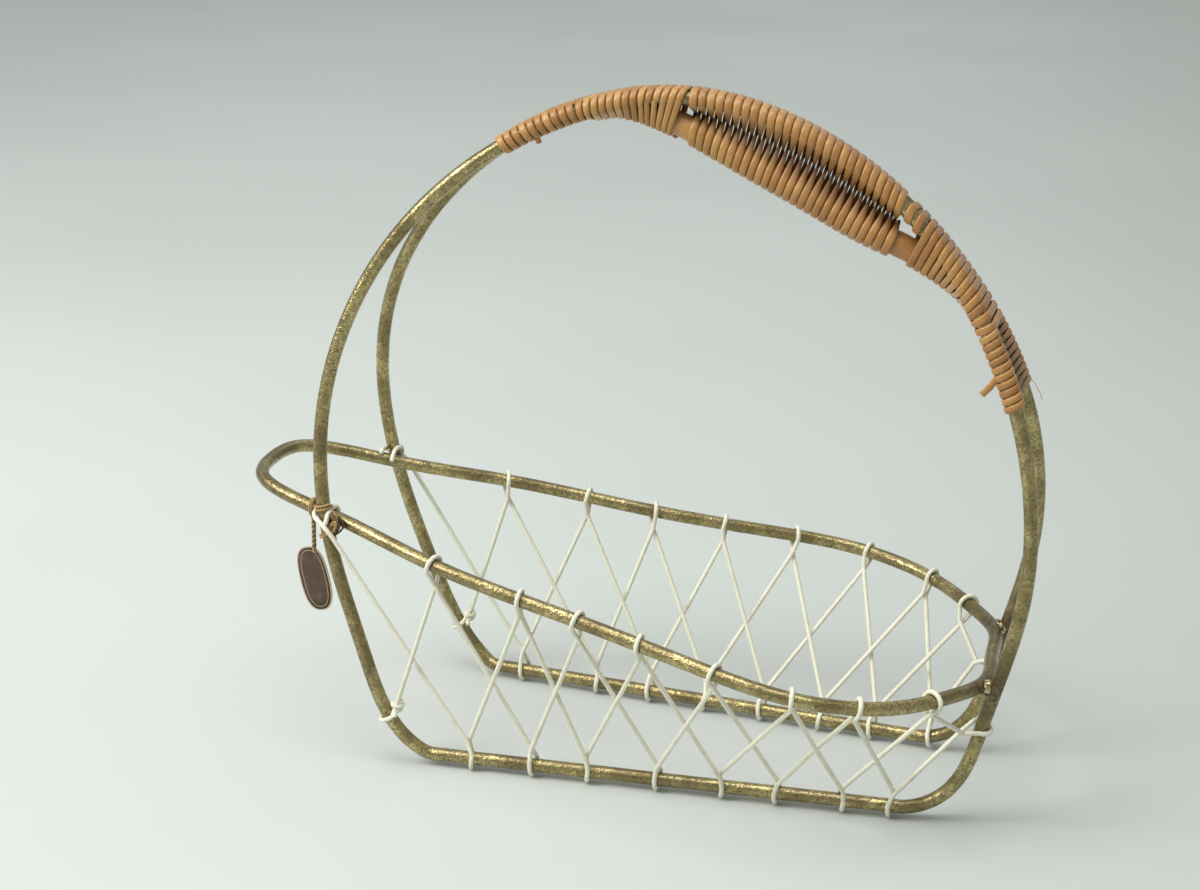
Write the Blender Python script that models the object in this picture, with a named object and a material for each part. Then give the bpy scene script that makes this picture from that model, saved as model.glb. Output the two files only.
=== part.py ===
"""Wine bottle basket: two brass wire hoops, a brass rim, corded sides and a cane-wound grip.

Metres, +Z up. The origin is on the floor under the middle of the basket. +X runs from the
open nose, where the bottle's neck lies, to the end that holds the bottle's base. The near
side, which carries the swing tag, is at -Y, and the far side at +Y.
"""

import math

import bmesh
import bpy
import numpy as np
from mathutils import Matrix, Vector

# Brass wire and the hoops
TUBE_DIAMETER = 0.0048
HOOP_LENGTH = 0.2425            # between the centre lines of a hoop's front and rear legs
HOOP_HEIGHT = 0.2326            # from the centre line of the runner to that of the arch's top
HOOP_HALF_SPREAD = 0.0395       # a hoop's centre line from the middle, where it is widest
GRIP_WIRE_GAP = 0.0003          # between the two hoops where they run side by side

# Rim
NOSE_REACH = 0.0318             # of the rim's tip before the hoops' front legs
RIM_HALF_WIDTH = 0.0683
RIM_FRONT_HEIGHT = 0.0945
RIM_REAR_HEIGHT = 0.0523
RIM_SAG = 0.0037
WELD_GAP = 0.0003               # between rim and hoop, bridged by a weld bead
WELD_BEAD_RADIUS = 0.0031

# Cord lacing
CORD_DIAMETER = 0.0015
CORD_SEAT_GAP = 0.0003          # between the cord and the wire that it wraps
CORD_SELF_GAP = 0.0005          # between two runs of the cord that pass each other
CORD_NECK_REACH = 0.0068        # from a wire's middle to the crossing of the hitch
CORD_NECK_SLIDE = 0.0050        # of a crossing along the wire where the cord runs along it
CORD_TAIL = 0.0035              # the cut end past the last hitch
CORD_FLAT_SHARE = 0.1           # of the cord's diameter, pressed flat where the basket stands
HITCH_HALF_WIDTH = 0.0009       # sideways from the middle of the hitch to each of its legs
HITCH_OPENING_ANGLE = math.radians(50)
HITCH_POINTS = 5                # of a hitch from an end of its loop to its furthest point

# Cane core under the arch
CORE_DIAMETER = 0.0085
CORE_SEAT_GAP = 0.0003
BOW_GAP = 0.0107                # widest opening between wires and core

# Cane strand of the windings
STRAND_WIDTH = 0.0026
STRAND_THICKNESS = 0.0011
STRAND_SEAT_GAP = 0.0003
STRAND_SELF_GAP = 0.00045       # between two turns that lie side by side
TAIL_LENGTH = 0.0062
TAIL_WIDTH = 0.0020
STUB_LENGTH = 0.0022

# Twine, string and tag
TWINE_DIAMETER = 0.0009
TWINE_SEAT_GAP = 0.0003
TIE_PITCH = 0.0013
TIE_RISE = 0.0034               # of the upper turns' lower end above the middle of the rim
TIE_DROP = 0.0043               # of the lower turns' upper end below the middle of the rim
STRING_DIAMETER = 0.0008
STRING_LEG_GAP = 0.0005
STRING_LOOP_ANGLE = math.radians(55)
STRING_HALF_TWISTS = 3
STRING_LENGTH = 0.0168          # from the middle of the rim to the tag's hole
STRING_PLACE = 0.0092           # of the string along the rim, from the front junction
TAG_WIDTH = 0.0113
TAG_HEIGHT = 0.0245
TAG_THICKNESS = 0.0005
TAG_HOLE_INSET = 0.0014
TAG_HOLE_GAP = 0.0003
TAG_TILT = math.radians(13)
TAG_ROUNDNESS_SHARE = 0.85      # 1 for an ellipse, and less for squarer shoulders

# One overrun serves all cutters
OVERRUN = 0.002

# Stations of a hoop's arch from the rear heel over the grip to the front heel, as shares of
# the hoop's length, of the way from the grip's spread to the widest spread, and of its height
REAR_HEEL_SHARES = (0.854, 0.675, 0.0)
FRONT_HEEL_SHARES = (0.179, 0.970, 0.0)
ARCH_STATION_SHARES = (
    (0.907, 0.629, 0.020),
    (0.960, 0.635, 0.150),
    (0.998, 0.640, 0.351),
    (0.979, 0.459, 0.552),
    (0.901, 0.180, 0.731),
    (0.794, 0.015, 0.864),
    (0.649, 0.000, 0.960),
    (0.473, 0.000, 0.999),
    (0.333, 0.066, 0.969),
    (0.227, 0.218, 0.912),
    (0.064, 0.451, 0.733),
    (0.001, 0.732, 0.523),
    (0.014, 0.900, 0.350),
    (0.073, 0.995, 0.159),
    (0.159, 0.997, 0.009),
)

# Stations of half the rim between its two junctions with a hoop, as shares of the rim's
# length and half width. The junctions themselves are found from the hoop
RIM_NOSE_SHARES = ((0.0, 0.0), (0.011, 0.237))
RIM_SIDE_SHARES = (
    (0.303, 0.659),
    (0.495, 0.792),
    (0.660, 0.934),
    (0.793, 1.000),
    (0.901, 0.835),
    (0.966, 0.559),
)

# Places of the hitches, as shares of the rim's length and of the runner's length. A place
# on a hoop below 0 is up its front leg, and one above 1 up its rear leg
NEAR_RIM_HITCH_SHARES = (0.292, 0.415, 0.495, 0.579, 0.679, 0.777, 0.856, 0.940)
NEAR_HOOP_HITCH_SHARES = (0.085, 0.221, 0.339, 0.492, 0.627, 0.746, 0.882, 0.983)
FAR_RIM_HITCH_SHARES = (0.290, 0.405, 0.500, 0.600, 0.700, 0.806, 0.900, 0.958)
FAR_HOOP_HITCH_SHARES = (0.068, 0.250, 0.380, 0.510, 0.645, 0.780, 0.900, 1.030)
END_HITCH_SHARE = -0.135
REAR_HITCH_SHARE = 1.28

# The lacing's first turn, as shares of its seat: along the rim, outward, up, and 1 where it
# is measured from the rim and not from the hoop
LASHING_SEATS_SHARE = (
    (-1.56, -0.60, 0.86, 1),
    (-1.54, -0.05, 1.05, 1),
    (-1.46, 0.55, 0.92, 1),
    (-1.36, 0.97, 0.45, 1),
    (-0.99, 0.67, -0.25, 0),
    (-0.45, 0.97, -0.52, 0),
    (0.00, 1.06, -0.60, 0),
    (0.45, 0.99, -0.52, 0),
    (0.97, 0.70, -0.25, 0),
    (1.18, 0.97, 0.45, 1),
    (1.17, 0.55, 0.92, 1),
    (1.20, -0.05, 1.05, 1),
    (1.23, -0.62, 0.86, 1),
    (1.27, -1.05, 0.15, 1),
    (1.30, -0.85, -0.65, 1),
    (1.36, -0.15, -1.08, 1),
)

# The grip, as shares of the arch's length from the front heel, and places on it as shares
# of the grip's own length. A winding's rows give the part of its turns that is done, and
# its place on the wires and on the core
GRIP_FROM_SHARE = 0.3965
GRIP_TO_SHARE = 0.7476
CORE_STATION_SHARES = (         # place on the grip, thickness, opening under the wires
    (0.170, 0.20, 0.00),
    (0.221, 0.60, 0.00),
    (0.264, 0.93, 0.09),
    (0.318, 1.00, 0.44),
    (0.426, 1.00, 0.93),
    (0.539, 1.00, 1.00),
    (0.652, 1.00, 0.67),
    (0.705, 1.00, 0.28),
    (0.752, 0.85, 0.02),
    (0.792, 0.50, 0.00),
    (0.840, 0.20, 0.00),
)
FRONT_BINDING_SHARES = ((0.0, 0.004, 0.0), (1.0, 0.127, 0.0))
FRONT_WRAP_SHARES = ((0.0, 0.132, 0.132), (0.55, 0.219, 0.216), (1.0, 0.2915, 0.279))
FIGURE_EIGHT_SHARES = ((0.0, 0.304, 0.299), (1.0, 0.660, 0.692))
REAR_WRAP_SHARES = ((0.0, 0.671, 0.704), (0.14, 0.7095, 0.729), (1.0, 0.878, 0.878))
REAR_BINDING_SHARES = ((0.0, 0.893, 0.0), (1.0, 1.006, 0.0))
TAIL_SHARE = 0.955
STUB_SHARE = 0.055

# Turns and points a turn
FRONT_BINDING_TURNS = 10
FRONT_WRAP_TURNS = 14
FIGURE_EIGHT_TURNS = 24
REAR_WRAP_TURNS = 15
REAR_LONE_TURNS = 2             # of the rear wrap, round the wires alone
REAR_BINDING_TURNS = 10
POINTS_A_TURN = 10
UPPER_POINTS = 6                # of an eight on its upper rail
LOWER_POINTS = 7

# Sampling
TIE_SHARES = np.linspace(0.0, 1.0, 17)
FINE_POINTS = 3000
HOOP_POINTS = 92
RIM_POINTS = 64
BEND_SHARE = 0.5                # of a wire's points that go by its bend, not its length
CORE_POINTS = 18
SEAT_PASSES = 6

NEAR = -1.0
FAR = 1.0
UP = np.array((0.0, 0.0, 1.0))
ACROSS = np.array((0.0, 1.0, 0.0))

tube_radius = TUBE_DIAMETER / 2
cord_radius = CORD_DIAMETER / 2
twine_radius = TWINE_DIAMETER / 2
string_radius = STRING_DIAMETER / 2
hitch_step = (math.pi - HITCH_OPENING_ANGLE) / (HITCH_POINTS - 1)
hitch_reach = (tube_radius + CORD_SEAT_GAP + cord_radius) / math.cos(hitch_step / 2)
runner_height = hitch_reach + cord_radius - CORD_DIAMETER * CORD_FLAT_SHARE
grip_half_spread = tube_radius + GRIP_WIRE_GAP / 2
overall_length = NOSE_REACH + HOOP_LENGTH + TUBE_DIAMETER
hoop_rear_x = overall_length / 2 - tube_radius
rim_tip_x = -overall_length / 2 + tube_radius


# Curves through points

def unit(vector):
    """The vector at length one."""
    vector = np.asarray(vector, float)
    return vector / np.linalg.norm(vector)


def lengths_along(line):
    """Distance of each point of a line from its first point, along the line."""
    steps = np.linalg.norm(np.diff(line, axis=0), axis=1)
    return np.concatenate(([0.0], np.cumsum(steps)))


def points_at(line, places):
    """Points of a line at distances along it, and the line's directions there."""
    run = lengths_along(line)
    slopes = np.gradient(line, run, axis=0)
    points = np.column_stack([np.interp(places, run, line[:, axis]) for axis in range(3)])
    ways = np.column_stack([np.interp(places, run, slopes[:, axis]) for axis in range(3)])
    return points, ways / np.linalg.norm(ways, axis=1, keepdims=True)


def point_at(line, place):
    """One point of a line at a distance along it, and the line's direction there."""
    points, ways = points_at(line, [place])
    return points[0], ways[0]


def evenly(line, count):
    """The line again with count evenly spaced points."""
    return points_at(line, np.linspace(0.0, lengths_along(line)[-1], count))[0]


def by_bend(loop, count):
    """A closed loop again with count points, closer together where it bends."""
    steps = np.diff(loop, axis=0)
    run = lengths_along(loop)
    ways = steps / np.linalg.norm(steps, axis=1, keepdims=True)
    turns = np.arccos(np.clip((ways[1:] * ways[:-1]).sum(axis=1), -1.0, 1.0))
    turned = np.concatenate(([0.0], np.cumsum(turns), [turns.sum()]))
    measure = (1 - BEND_SHARE) * run / run[-1] + BEND_SHARE * turned / turned[-1]
    places = np.interp(np.linspace(0.0, 1.0, count + 1)[:-1], measure, run)
    return points_at(loop, places)[0]


def smooth_line(stations, closed=False, end_way=None):
    """A cubic curve of steady curvature through stations, finely and evenly sampled.

    A closed curve joins its ends smoothly, and an open one leaves both along end_way.
    """
    stations = np.asarray(stations, float)
    if closed:
        stations = np.vstack([stations, stations[:1]])
    count = len(stations)
    spans = np.linalg.norm(np.diff(stations, axis=0), axis=1)
    chords = np.diff(stations, axis=0) / spans[:, None]
    system = np.zeros((count, count))
    right = np.zeros((count, 3))
    for row in range(1, count - 1):
        before, after = spans[row - 1], spans[row]
        system[row, row - 1:row + 2] = (after, 2 * (before + after), before)
        right[row] = 3 * (after * chords[row - 1] + before * chords[row])
    if closed:
        before, after = spans[-1], spans[0]
        system[0, [-2, 0, 1]] = (after, 2 * (before + after), before)
        right[0] = 3 * (after * chords[-1] + before * chords[0])
        system[-1, [0, -1]] = (-1.0, 1.0)
    else:
        system[0, 0] = system[-1, -1] = 1.0
        right[0] = right[-1] = end_way
    ways = np.linalg.solve(system, right)
    knots = np.concatenate(([0.0], np.cumsum(spans)))
    places = np.linspace(0.0, knots[-1], FINE_POINTS)
    span = np.clip(np.searchsorted(knots, places, side="right") - 1, 0, count - 2)
    width = spans[span][:, None]
    part = ((places - knots[span]) / spans[span])[:, None]
    line = stations[span] * (2 * part**3 - 3 * part**2 + 1)
    line += ways[span] * width * (part**3 - 2 * part**2 + part)
    line += stations[span + 1] * (3 * part**2 - 2 * part**3)
    line += ways[span + 1] * width * (part**3 - part**2)
    return evenly(line, FINE_POINTS)


def least_gap(points, widths, skip):
    """Least clear distance between points of one strand that lie over skip along it."""
    run = lengths_along(points)
    least = math.inf
    for index in range(len(points)):
        others = run > run[index] + skip
        if others.any():
            reach = np.linalg.norm(points[others] - points[index], axis=1)
            least = min(least, float((reach - (widths[others] + widths[index]) / 2).min()))
    return least


# The wire lines

def hoop_station(shares):
    """World place of a hoop station on the far side."""
    along, spread, height = shares
    return np.array((
        hoop_rear_x - HOOP_LENGTH * (1 - along),
        grip_half_spread + (HOOP_HALF_SPREAD - grip_half_spread) * spread,
        runner_height + HOOP_HEIGHT * height,
    ))


def far_hoop():
    """The far hoop's runner and arch: two lines that both start at the front heel."""
    front, rear = hoop_station(FRONT_HEEL_SHARES), hoop_station(REAR_HEEL_SHARES)
    stations = [rear] + [hoop_station(shares) for shares in ARCH_STATION_SHARES] + [front]
    arch = smooth_line(stations, end_way=unit(rear - front))[::-1]
    return evenly(np.array((front, rear)), FINE_POINTS), arch


def on_side(points, side):
    """Points of the far side as they lie on the given side."""
    return np.asarray(points) * np.array((1.0, side, 1.0))


RUNNER, ARCH = far_hoop()
RUNNER_LENGTH = lengths_along(RUNNER)[-1]
ARCH_LENGTH = lengths_along(ARCH)[-1]


def hoop_place(share, side):
    """Centre and direction of a hoop at a share of its runner, also up either leg."""
    if share < 0:
        point, way = point_at(ARCH, -share * RUNNER_LENGTH)
    elif share > 1:
        point, way = point_at(ARCH, ARCH_LENGTH - (share - 1) * RUNNER_LENGTH)
    else:
        point, way = point_at(RUNNER, share * RUNNER_LENGTH)
    return on_side(point, side), on_side(way, side)


def rim_height(along):
    """Height of the rim's centre line at a share of its length."""
    level = RIM_FRONT_HEIGHT + (RIM_REAR_HEIGHT - RIM_FRONT_HEIGHT) * along
    return level - 4 * RIM_SAG * along * (1 - along)


def half_rim(front_seat, rear_seat):
    """Half of the rim on the far side, through its seats on the hoop."""
    length = rear_seat[0] - rim_tip_x
    flat = [(rim_tip_x + length * along, RIM_HALF_WIDTH * out) for along, out in RIM_NOSE_SHARES]
    flat.append((front_seat[0], front_seat[1]))
    flat += [(rim_tip_x + length * along, RIM_HALF_WIDTH * out) for along, out in RIM_SIDE_SHARES]
    flat.append((rear_seat[0], rear_seat[1]))
    flat.append((rear_seat[0] + TUBE_DIAMETER / 5, 0.0))
    return [np.array((x, y, rim_height((x - rim_tip_x) / length))) for x, y in flat]


def whole_rim(front_seat, rear_seat):
    """The closed rim line, from the tip over the far side and back over the near side."""
    half = half_rim(front_seat, rear_seat)
    return smooth_line(half + [on_side(point, NEAR) for point in half[-2:0:-1]], closed=True)


def leg_near_rim(rear):
    """The stretch of the hoop's front or rear leg about the rim's height."""
    legs = ARCH[(ARCH[:, 2] < 2 * RIM_FRONT_HEIGHT) & (ARCH[:, 2] > runner_height)]
    return legs[(legs[:, 0] > 0) == rear]


def nearest_pair(first, second):
    """The nearest points of two lines, one of each."""
    best = (math.inf, None, None)
    for point in first[::4]:
        reach = np.linalg.norm(second - point, axis=1)
        nearest = int(reach.argmin())
        if reach[nearest] < best[0]:
            best = (reach[nearest], point, second[nearest])
    return best[1], best[2]


def seat_rim():
    """The rim line that just clears the inside of both hoops, and its contact points."""
    touch = TUBE_DIAMETER + WELD_GAP
    seats, legs = [], []
    for rear, height in ((False, RIM_FRONT_HEIGHT), (True, RIM_REAR_HEIGHT)):
        leg = leg_near_rim(rear)
        at_rim = leg[np.abs(leg[:, 2] - height).argmin()]
        inward = unit((-1.0, -1.0, 0.0)) if rear else np.array((0.0, -1.0, 0.0))
        seats.append(at_rim + inward * touch)
        legs.append(leg)
    for _ in range(SEAT_PASSES):
        line = whole_rim(*seats)
        half = line[:FINE_POINTS // 2]
        contacts = []
        for index, leg in enumerate(legs):
            stretch = half[(half[:, 0] > 0) == (index == 1)]
            on_leg, on_rim = nearest_pair(leg, stretch)
            push = unit(on_rim - on_leg) * (touch - np.linalg.norm(on_rim - on_leg))
            seats[index] = seats[index] + push * np.array((1.0, 1.0, 0.0))
            contacts.append((on_leg, on_rim))
    return line, contacts


RIM, CONTACTS = seat_rim()
RIM_HALF_LENGTH = lengths_along(RIM)[-1] / 2


def rim_place(share, side):
    """Centre and direction of the rim at a share of its length from tip to rear."""
    half = RIM[:FINE_POINTS // 2]
    across = half[:, 0] - (half[0, 0] + share * (half[-1, 0] - half[0, 0]))
    place = lengths_along(half)[int(np.abs(across).argmin())]
    point, way = point_at(half, place)
    return on_side(point, side), on_side(way, side)


# Scene, materials and the basic objects

def new_collection(name):
    """A collection of that name in the scene."""
    collection = bpy.data.collections.new(name)
    bpy.context.scene.collection.children.link(collection)
    return collection


def new_material(name, colour, metallic, roughness):
    """A plain Principled material."""
    material = bpy.data.materials.new(name)
    material.use_nodes = True
    shader = material.node_tree.nodes["Principled BSDF"]
    shader.inputs["Base Color"].default_value = (*colour, 1.0)
    shader.inputs["Metallic"].default_value = metallic
    shader.inputs["Roughness"].default_value = roughness
    material.diffuse_color = (*colour, 1.0)
    return material


def set_origin_matrix(item, origin, turn=None):
    """Place an object at an origin, turned by a rotation matrix."""
    matrix = Matrix.Translation(Vector(origin))
    item.matrix_world = matrix @ turn.to_4x4() if turn else matrix


def wire(name, points, radius, material, closed=False, sides=2, radii=None, origin=None,
         profile=None, along=None, tilts=None):
    """A tube, or a strand with a profile of its own, that follows points.

    sides is the curve's bevel resolution. A profile's width lies along the direction along,
    or is turned from it by tilts.
    """
    points = np.asarray(points, float)
    origin = points.mean(axis=0) if origin is None else np.asarray(origin, float)
    turn = Vector(along).to_track_quat("Z", "Y").to_matrix() if along is not None else None
    back = turn.transposed() if turn else Matrix.Identity(3)
    curve = bpy.data.curves.new(name, "CURVE")
    curve.dimensions = "3D"
    curve.bevel_depth = radius
    curve.bevel_resolution = sides
    curve.use_fill_caps = not closed
    if profile:
        curve.bevel_mode = "OBJECT"
        curve.bevel_object = profile
        curve.twist_mode = "Z_UP"
    spline = curve.splines.new("POLY")
    spline.points.add(len(points) - 1)
    for index, point in enumerate(points):
        spline.points[index].co = (*(back @ Vector(point - origin)), 1.0)
        spline.points[index].radius = 1.0 if radii is None else radii[index]
        spline.points[index].tilt = 0.0 if tilts is None else tilts[index]
    spline.use_cyclic_u = closed
    spline.use_smooth = True
    item = bpy.data.objects.new(name, curve)
    set_origin_matrix(item, origin, turn)
    curve.materials.append(material)
    PARTS.objects.link(item)
    return item


def flat_profile(name, width, thickness):
    """The rectangular section of a split cane strand."""
    curve = bpy.data.curves.new(name, "CURVE")
    curve.dimensions = "2D"
    curve.fill_mode = "NONE"
    spline = curve.splines.new("POLY")
    corners = ((-1, -1), (-1, 1), (1, 1), (1, -1))
    spline.points.add(len(corners) - 1)
    for index, (across, along) in enumerate(corners):
        spline.points[index].co = (across * thickness / 2, along * width / 2, 0.0, 1.0)
    spline.use_cyclic_u = True
    item = bpy.data.objects.new(name, curve)
    CUTTERS.objects.link(item)
    item.display_type = "WIRE"
    item.hide_render = True
    return item


def made_mesh(item):
    """The curve object as a mesh object with welded caps, in the curve's place."""
    bpy.context.view_layer.update()
    graph = bpy.context.evaluated_depsgraph_get()
    mesh = bpy.data.meshes.new_from_object(item.evaluated_get(graph))
    shape = bmesh.new()
    shape.from_mesh(mesh)
    bmesh.ops.remove_doubles(shape, verts=shape.verts, dist=OVERRUN / 1000)
    bmesh.ops.recalc_face_normals(shape, faces=shape.faces)
    shape.to_mesh(mesh)
    shape.free()
    name, place, home = item.name, item.matrix_world.copy(), item.users_collection[0]
    bpy.data.objects.remove(item)
    mesh.name = name
    solid = bpy.data.objects.new(name, mesh)
    solid.matrix_world = place
    home.objects.link(solid)
    return solid


def as_cutter(item):
    """Move an object to the cutters, which are drawn as wires and never rendered."""
    for collection in item.users_collection:
        collection.objects.unlink(item)
    CUTTERS.objects.link(item)
    item.display_type = "WIRE"
    item.hide_render = True
    return item


def cut(item, cutter):
    """Take the cutter's volume out of an object."""
    boolean = item.modifiers.new("cut_" + cutter.name, "BOOLEAN")
    boolean.operation = "DIFFERENCE"
    boolean.solver = "EXACT"
    boolean.object = cutter


# Hoops, rim and welds

def hoop_line(side):
    """A whole hoop, closed, with evenly spaced points."""
    return on_side(by_bend(np.vstack([RUNNER[:-1], ARCH[::-1]]), HOOP_POINTS), side)


def make_hoops():
    """The two side hoops, bent to the same form and mirrored."""
    for name, side in (("side_hoop_near", NEAR), ("side_hoop_far", FAR)):
        wire(name, hoop_line(side), tube_radius, BRASS, closed=True)


def make_rim():
    """The drop-shaped basket rim."""
    wire("basket_rim", by_bend(RIM, RIM_POINTS), tube_radius, BRASS, closed=True)


def make_welds():
    """A weld bead in the crease of each crossing of rim and hoop."""
    grown = tube_radius + WELD_GAP
    rim_cutter = as_cutter(made_mesh(wire(
        "rim_clearance", by_bend(RIM, RIM_POINTS), grown, BRASS, closed=True)))
    for side, side_name in ((NEAR, "near"), (FAR, "far")):
        hoop_cutter = as_cutter(made_mesh(wire(
            "hoop_clearance_" + side_name, hoop_line(side), grown, BRASS, closed=True)))
        for end_name, (on_leg, on_rim) in zip(("front", "rear"), CONTACTS):
            middle = on_side((on_leg + on_rim) / 2, side)
            bpy.ops.mesh.primitive_uv_sphere_add(
                segments=12, ring_count=6, radius=WELD_BEAD_RADIUS, location=middle)
            bead = bpy.context.active_object
            bead.name = f"weld_bead_{end_name}_{side_name}"
            bead.data.name = bead.name
            bead.data.materials.append(BRASS)
            for collection in bead.users_collection:
                collection.objects.unlink(bead)
            PARTS.objects.link(bead)
            cut(bead, rim_cutter)
            cut(bead, hoop_cutter)


# Cord lacing

def hitch(centre, way, to_net, outward, slide, far_angle):
    """Points of one half hitch round a wire, from its incoming to its outgoing neck.

    way is the wire's direction, turned the way the lacing runs. to_net points from the wire
    to its strands and outward out of the basket, both square to the wire. The cord passes
    over the outside first. slide is the neck's place along the wire, and far_angle is where
    the loop is furthest from the strands.
    """
    half_pass = cord_radius + CORD_SELF_GAP / 2
    angles = np.concatenate((
        np.linspace(HITCH_OPENING_ANGLE, far_angle, HITCH_POINTS),
        np.linspace(far_angle, 2 * math.pi - HITCH_OPENING_ANGLE, HITCH_POINTS)[1:],
    ))
    leans = np.linspace(HITCH_HALF_WIDTH, -HITCH_HALF_WIDTH, len(angles))
    neck = centre + to_net * CORD_NECK_REACH + way * slide
    points = [neck + outward * half_pass]
    for angle, lean in zip(angles, leans):
        round_wire = to_net * math.cos(angle) + outward * math.sin(angle)
        points.append(centre + round_wire * hitch_reach + way * lean)
    points.append(neck - outward * half_pass)
    return points


def lashing(side):
    """The cord's first turn, which ties hoop and rim at their front crossing.

    It starts on the rim, crosses the hoop's front below the rim, and goes once round the
    rim behind. Its points are given along the rim, out of the basket and up, in seats: the
    distance from a wire's middle to that of a cord on it.
    """
    seat = tube_radius + CORD_SEAT_GAP + cord_radius
    on_leg, on_rim = CONTACTS[0]
    outward = unit(on_leg - on_rim)
    nearest = int(np.linalg.norm(RIM[:FINE_POINTS // 2] - on_rim, axis=1).argmin())
    along = unit(RIM[nearest + 1] - RIM[nearest - 1])
    upward = np.cross(outward, along)
    upward *= math.copysign(1.0, upward[2])
    rim_out = np.linalg.norm(on_leg - on_rim) / seat
    route = [on_leg + seat * (along * a + outward * (o - rim_out * behind) + upward * u)
             for a, o, u, behind in LASHING_SEATS_SHARE]
    return [on_side(point, side) for point in route]


def lacing_places(side, rim_shares, hoop_shares):
    """Centre, direction and kind of each hitch, in the order in which the cord makes them."""
    rim_row = [(*rim_place(share, side), "rim") for share in rim_shares]
    hoop_row = [(*hoop_place(share, side), "runner") for share in hoop_shares]
    start = (lashing(side)[-1], on_side(np.array((1.0, 0.0, 0.0)), side), "lashing")
    out, back = [start], []
    for index in range(len(rim_row)):
        rows = (hoop_row, rim_row) if index % 2 == 0 else (rim_row, hoop_row)
        out.append(rows[0][index])
        back.append(rows[1][index])
    turning = (*hoop_place(REAR_HITCH_SHARE, side), "leg")
    end = (*hoop_place(END_HITCH_SHARE, side), "leg")
    return out + [turning] + back[::-1] + [end]


def keep_apart(first, second, outward, wanted):
    """Places where two runs pass, moved apart outward if they are nearer than wanted."""
    (a, b), (c, d) = first, second
    one, two, between = b - a, d - c, a - c
    matrix = np.array(((one @ one, -one @ two), (one @ two, -two @ two)))
    shares = np.linalg.solve(matrix, -np.array((one @ between, two @ between)))
    on_first, on_second = a + one * shares[0], c + two * shares[1]
    gap = float((on_first - on_second) @ outward)
    lack = max(wanted - abs(gap), 0.0) / 2 * math.copysign(1.0, gap)
    return on_first + outward * lack, on_second - outward * lack


def lacing_line(side, rim_shares, hoop_shares):
    """The whole route of one side's cord, from its first cut end to its last."""
    places = lacing_places(side, rim_shares, hoop_shares)
    last = len(places) - 1
    middle = last // 2
    hitches = []
    for index, (centre, way, kind) in enumerate(places):
        before, after = places[max(index - 1, 0)][0], places[min(index + 1, last)][0]
        way = way * math.copysign(1.0, way @ (after - before))
        if kind == "lashing":
            hitches.append(lashing(side))
            continue
        strands = unit((before if index == last else (before + after) / 2) - centre)
        to_net = unit(strands - way * (strands @ way))
        outward = np.cross(way, to_net)
        outward *= math.copysign(1.0, outward[1] * side)
        slide = CORD_NECK_SLIDE * float(strands @ way)
        lowest = math.atan2(-outward[2], -to_net[2]) % (2 * math.pi)
        far_angle = lowest if kind == "runner" else math.pi
        hitches.append(hitch(centre, way, to_net, outward, slide, far_angle))
    passing = {}
    for index in range(middle):
        run_out = (hitches[index][-1], hitches[index + 1][0])
        run_back = (hitches[last - index - 1][-1], hitches[last - index][0])
        outward = unit(np.cross(run_out[1] - run_out[0], run_back[1] - run_back[0]))
        outward *= math.copysign(1.0, outward[1] * side)
        wanted = CORD_DIAMETER + CORD_SELF_GAP
        passing[index], passing[last - index - 1] = keep_apart(run_out, run_back, outward, wanted)
    last_tail = unit(hitches[-1][-1] - hitches[-1][0]) * CORD_TAIL
    route = []
    for index, points in enumerate(hitches):
        route += points
        if index in passing and 0 < index < last - 1:
            route.append(passing[index])
    route.append(hitches[-1][-1] + last_tail)
    return np.array(route)


def make_lacing():
    """One cord on each side, hitched to rim and hoop by turns, there and back."""
    bpy.ops.mesh.primitive_cube_add(size=2 * overall_length, location=(0, 0, -overall_length))
    floor = as_cutter(bpy.context.active_object)
    floor.name = "floor_clearance"
    sides = (
        ("side_lacing_near", NEAR, NEAR_RIM_HITCH_SHARES, NEAR_HOOP_HITCH_SHARES),
        ("side_lacing_far", FAR, FAR_RIM_HITCH_SHARES, FAR_HOOP_HITCH_SHARES),
    )
    for name, side, rim_shares, hoop_shares in sides:
        route = lacing_line(side, rim_shares, hoop_shares)
        gap = least_gap(route, np.full(len(route), CORD_DIAMETER), 2 * CORD_NECK_REACH)
        print(f"{name}: least gap between passing runs {gap:.5f} m")
        cut(made_mesh(wire(name, route, cord_radius, CORD, sides=1)), floor)


# The grip's frame: wires above, cane core below

GRIP_FROM = GRIP_FROM_SHARE * ARCH_LENGTH
GRIP_LENGTH = (GRIP_TO_SHARE - GRIP_FROM_SHARE) * ARCH_LENGTH


def grip_frame(share):
    """Middle between the wires, half their spread, and the way and the outside there."""
    point, way = point_at(ARCH, GRIP_FROM + share * GRIP_LENGTH)
    way = unit(way * np.array((1.0, 0.0, 1.0)))
    outside = np.cross(way, ACROSS)
    return point * np.array((1.0, 0.0, 1.0)), point[1], way, outside


def core_line():
    """The cane core's centre line and radii, from its front tip to its rear tip."""
    points, radii = [], []
    for share, thickness, opening in CORE_STATION_SHARES:
        middle, _, _, outside = grip_frame(share)
        radius = CORE_DIAMETER / 2 * thickness
        depth = tube_radius + CORE_SEAT_GAP + radius + BOW_GAP * opening
        points.append(middle - outside * depth)
        radii.append(radius)
    return np.array(points), np.array(radii)


CORE_STATIONS, CORE_RADII = core_line()
CORE = smooth_line(CORE_STATIONS, end_way=unit(CORE_STATIONS[-1] - CORE_STATIONS[0]))
CORE_PLACES = lengths_along(CORE_STATIONS) / lengths_along(CORE_STATIONS)[-1]


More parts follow.
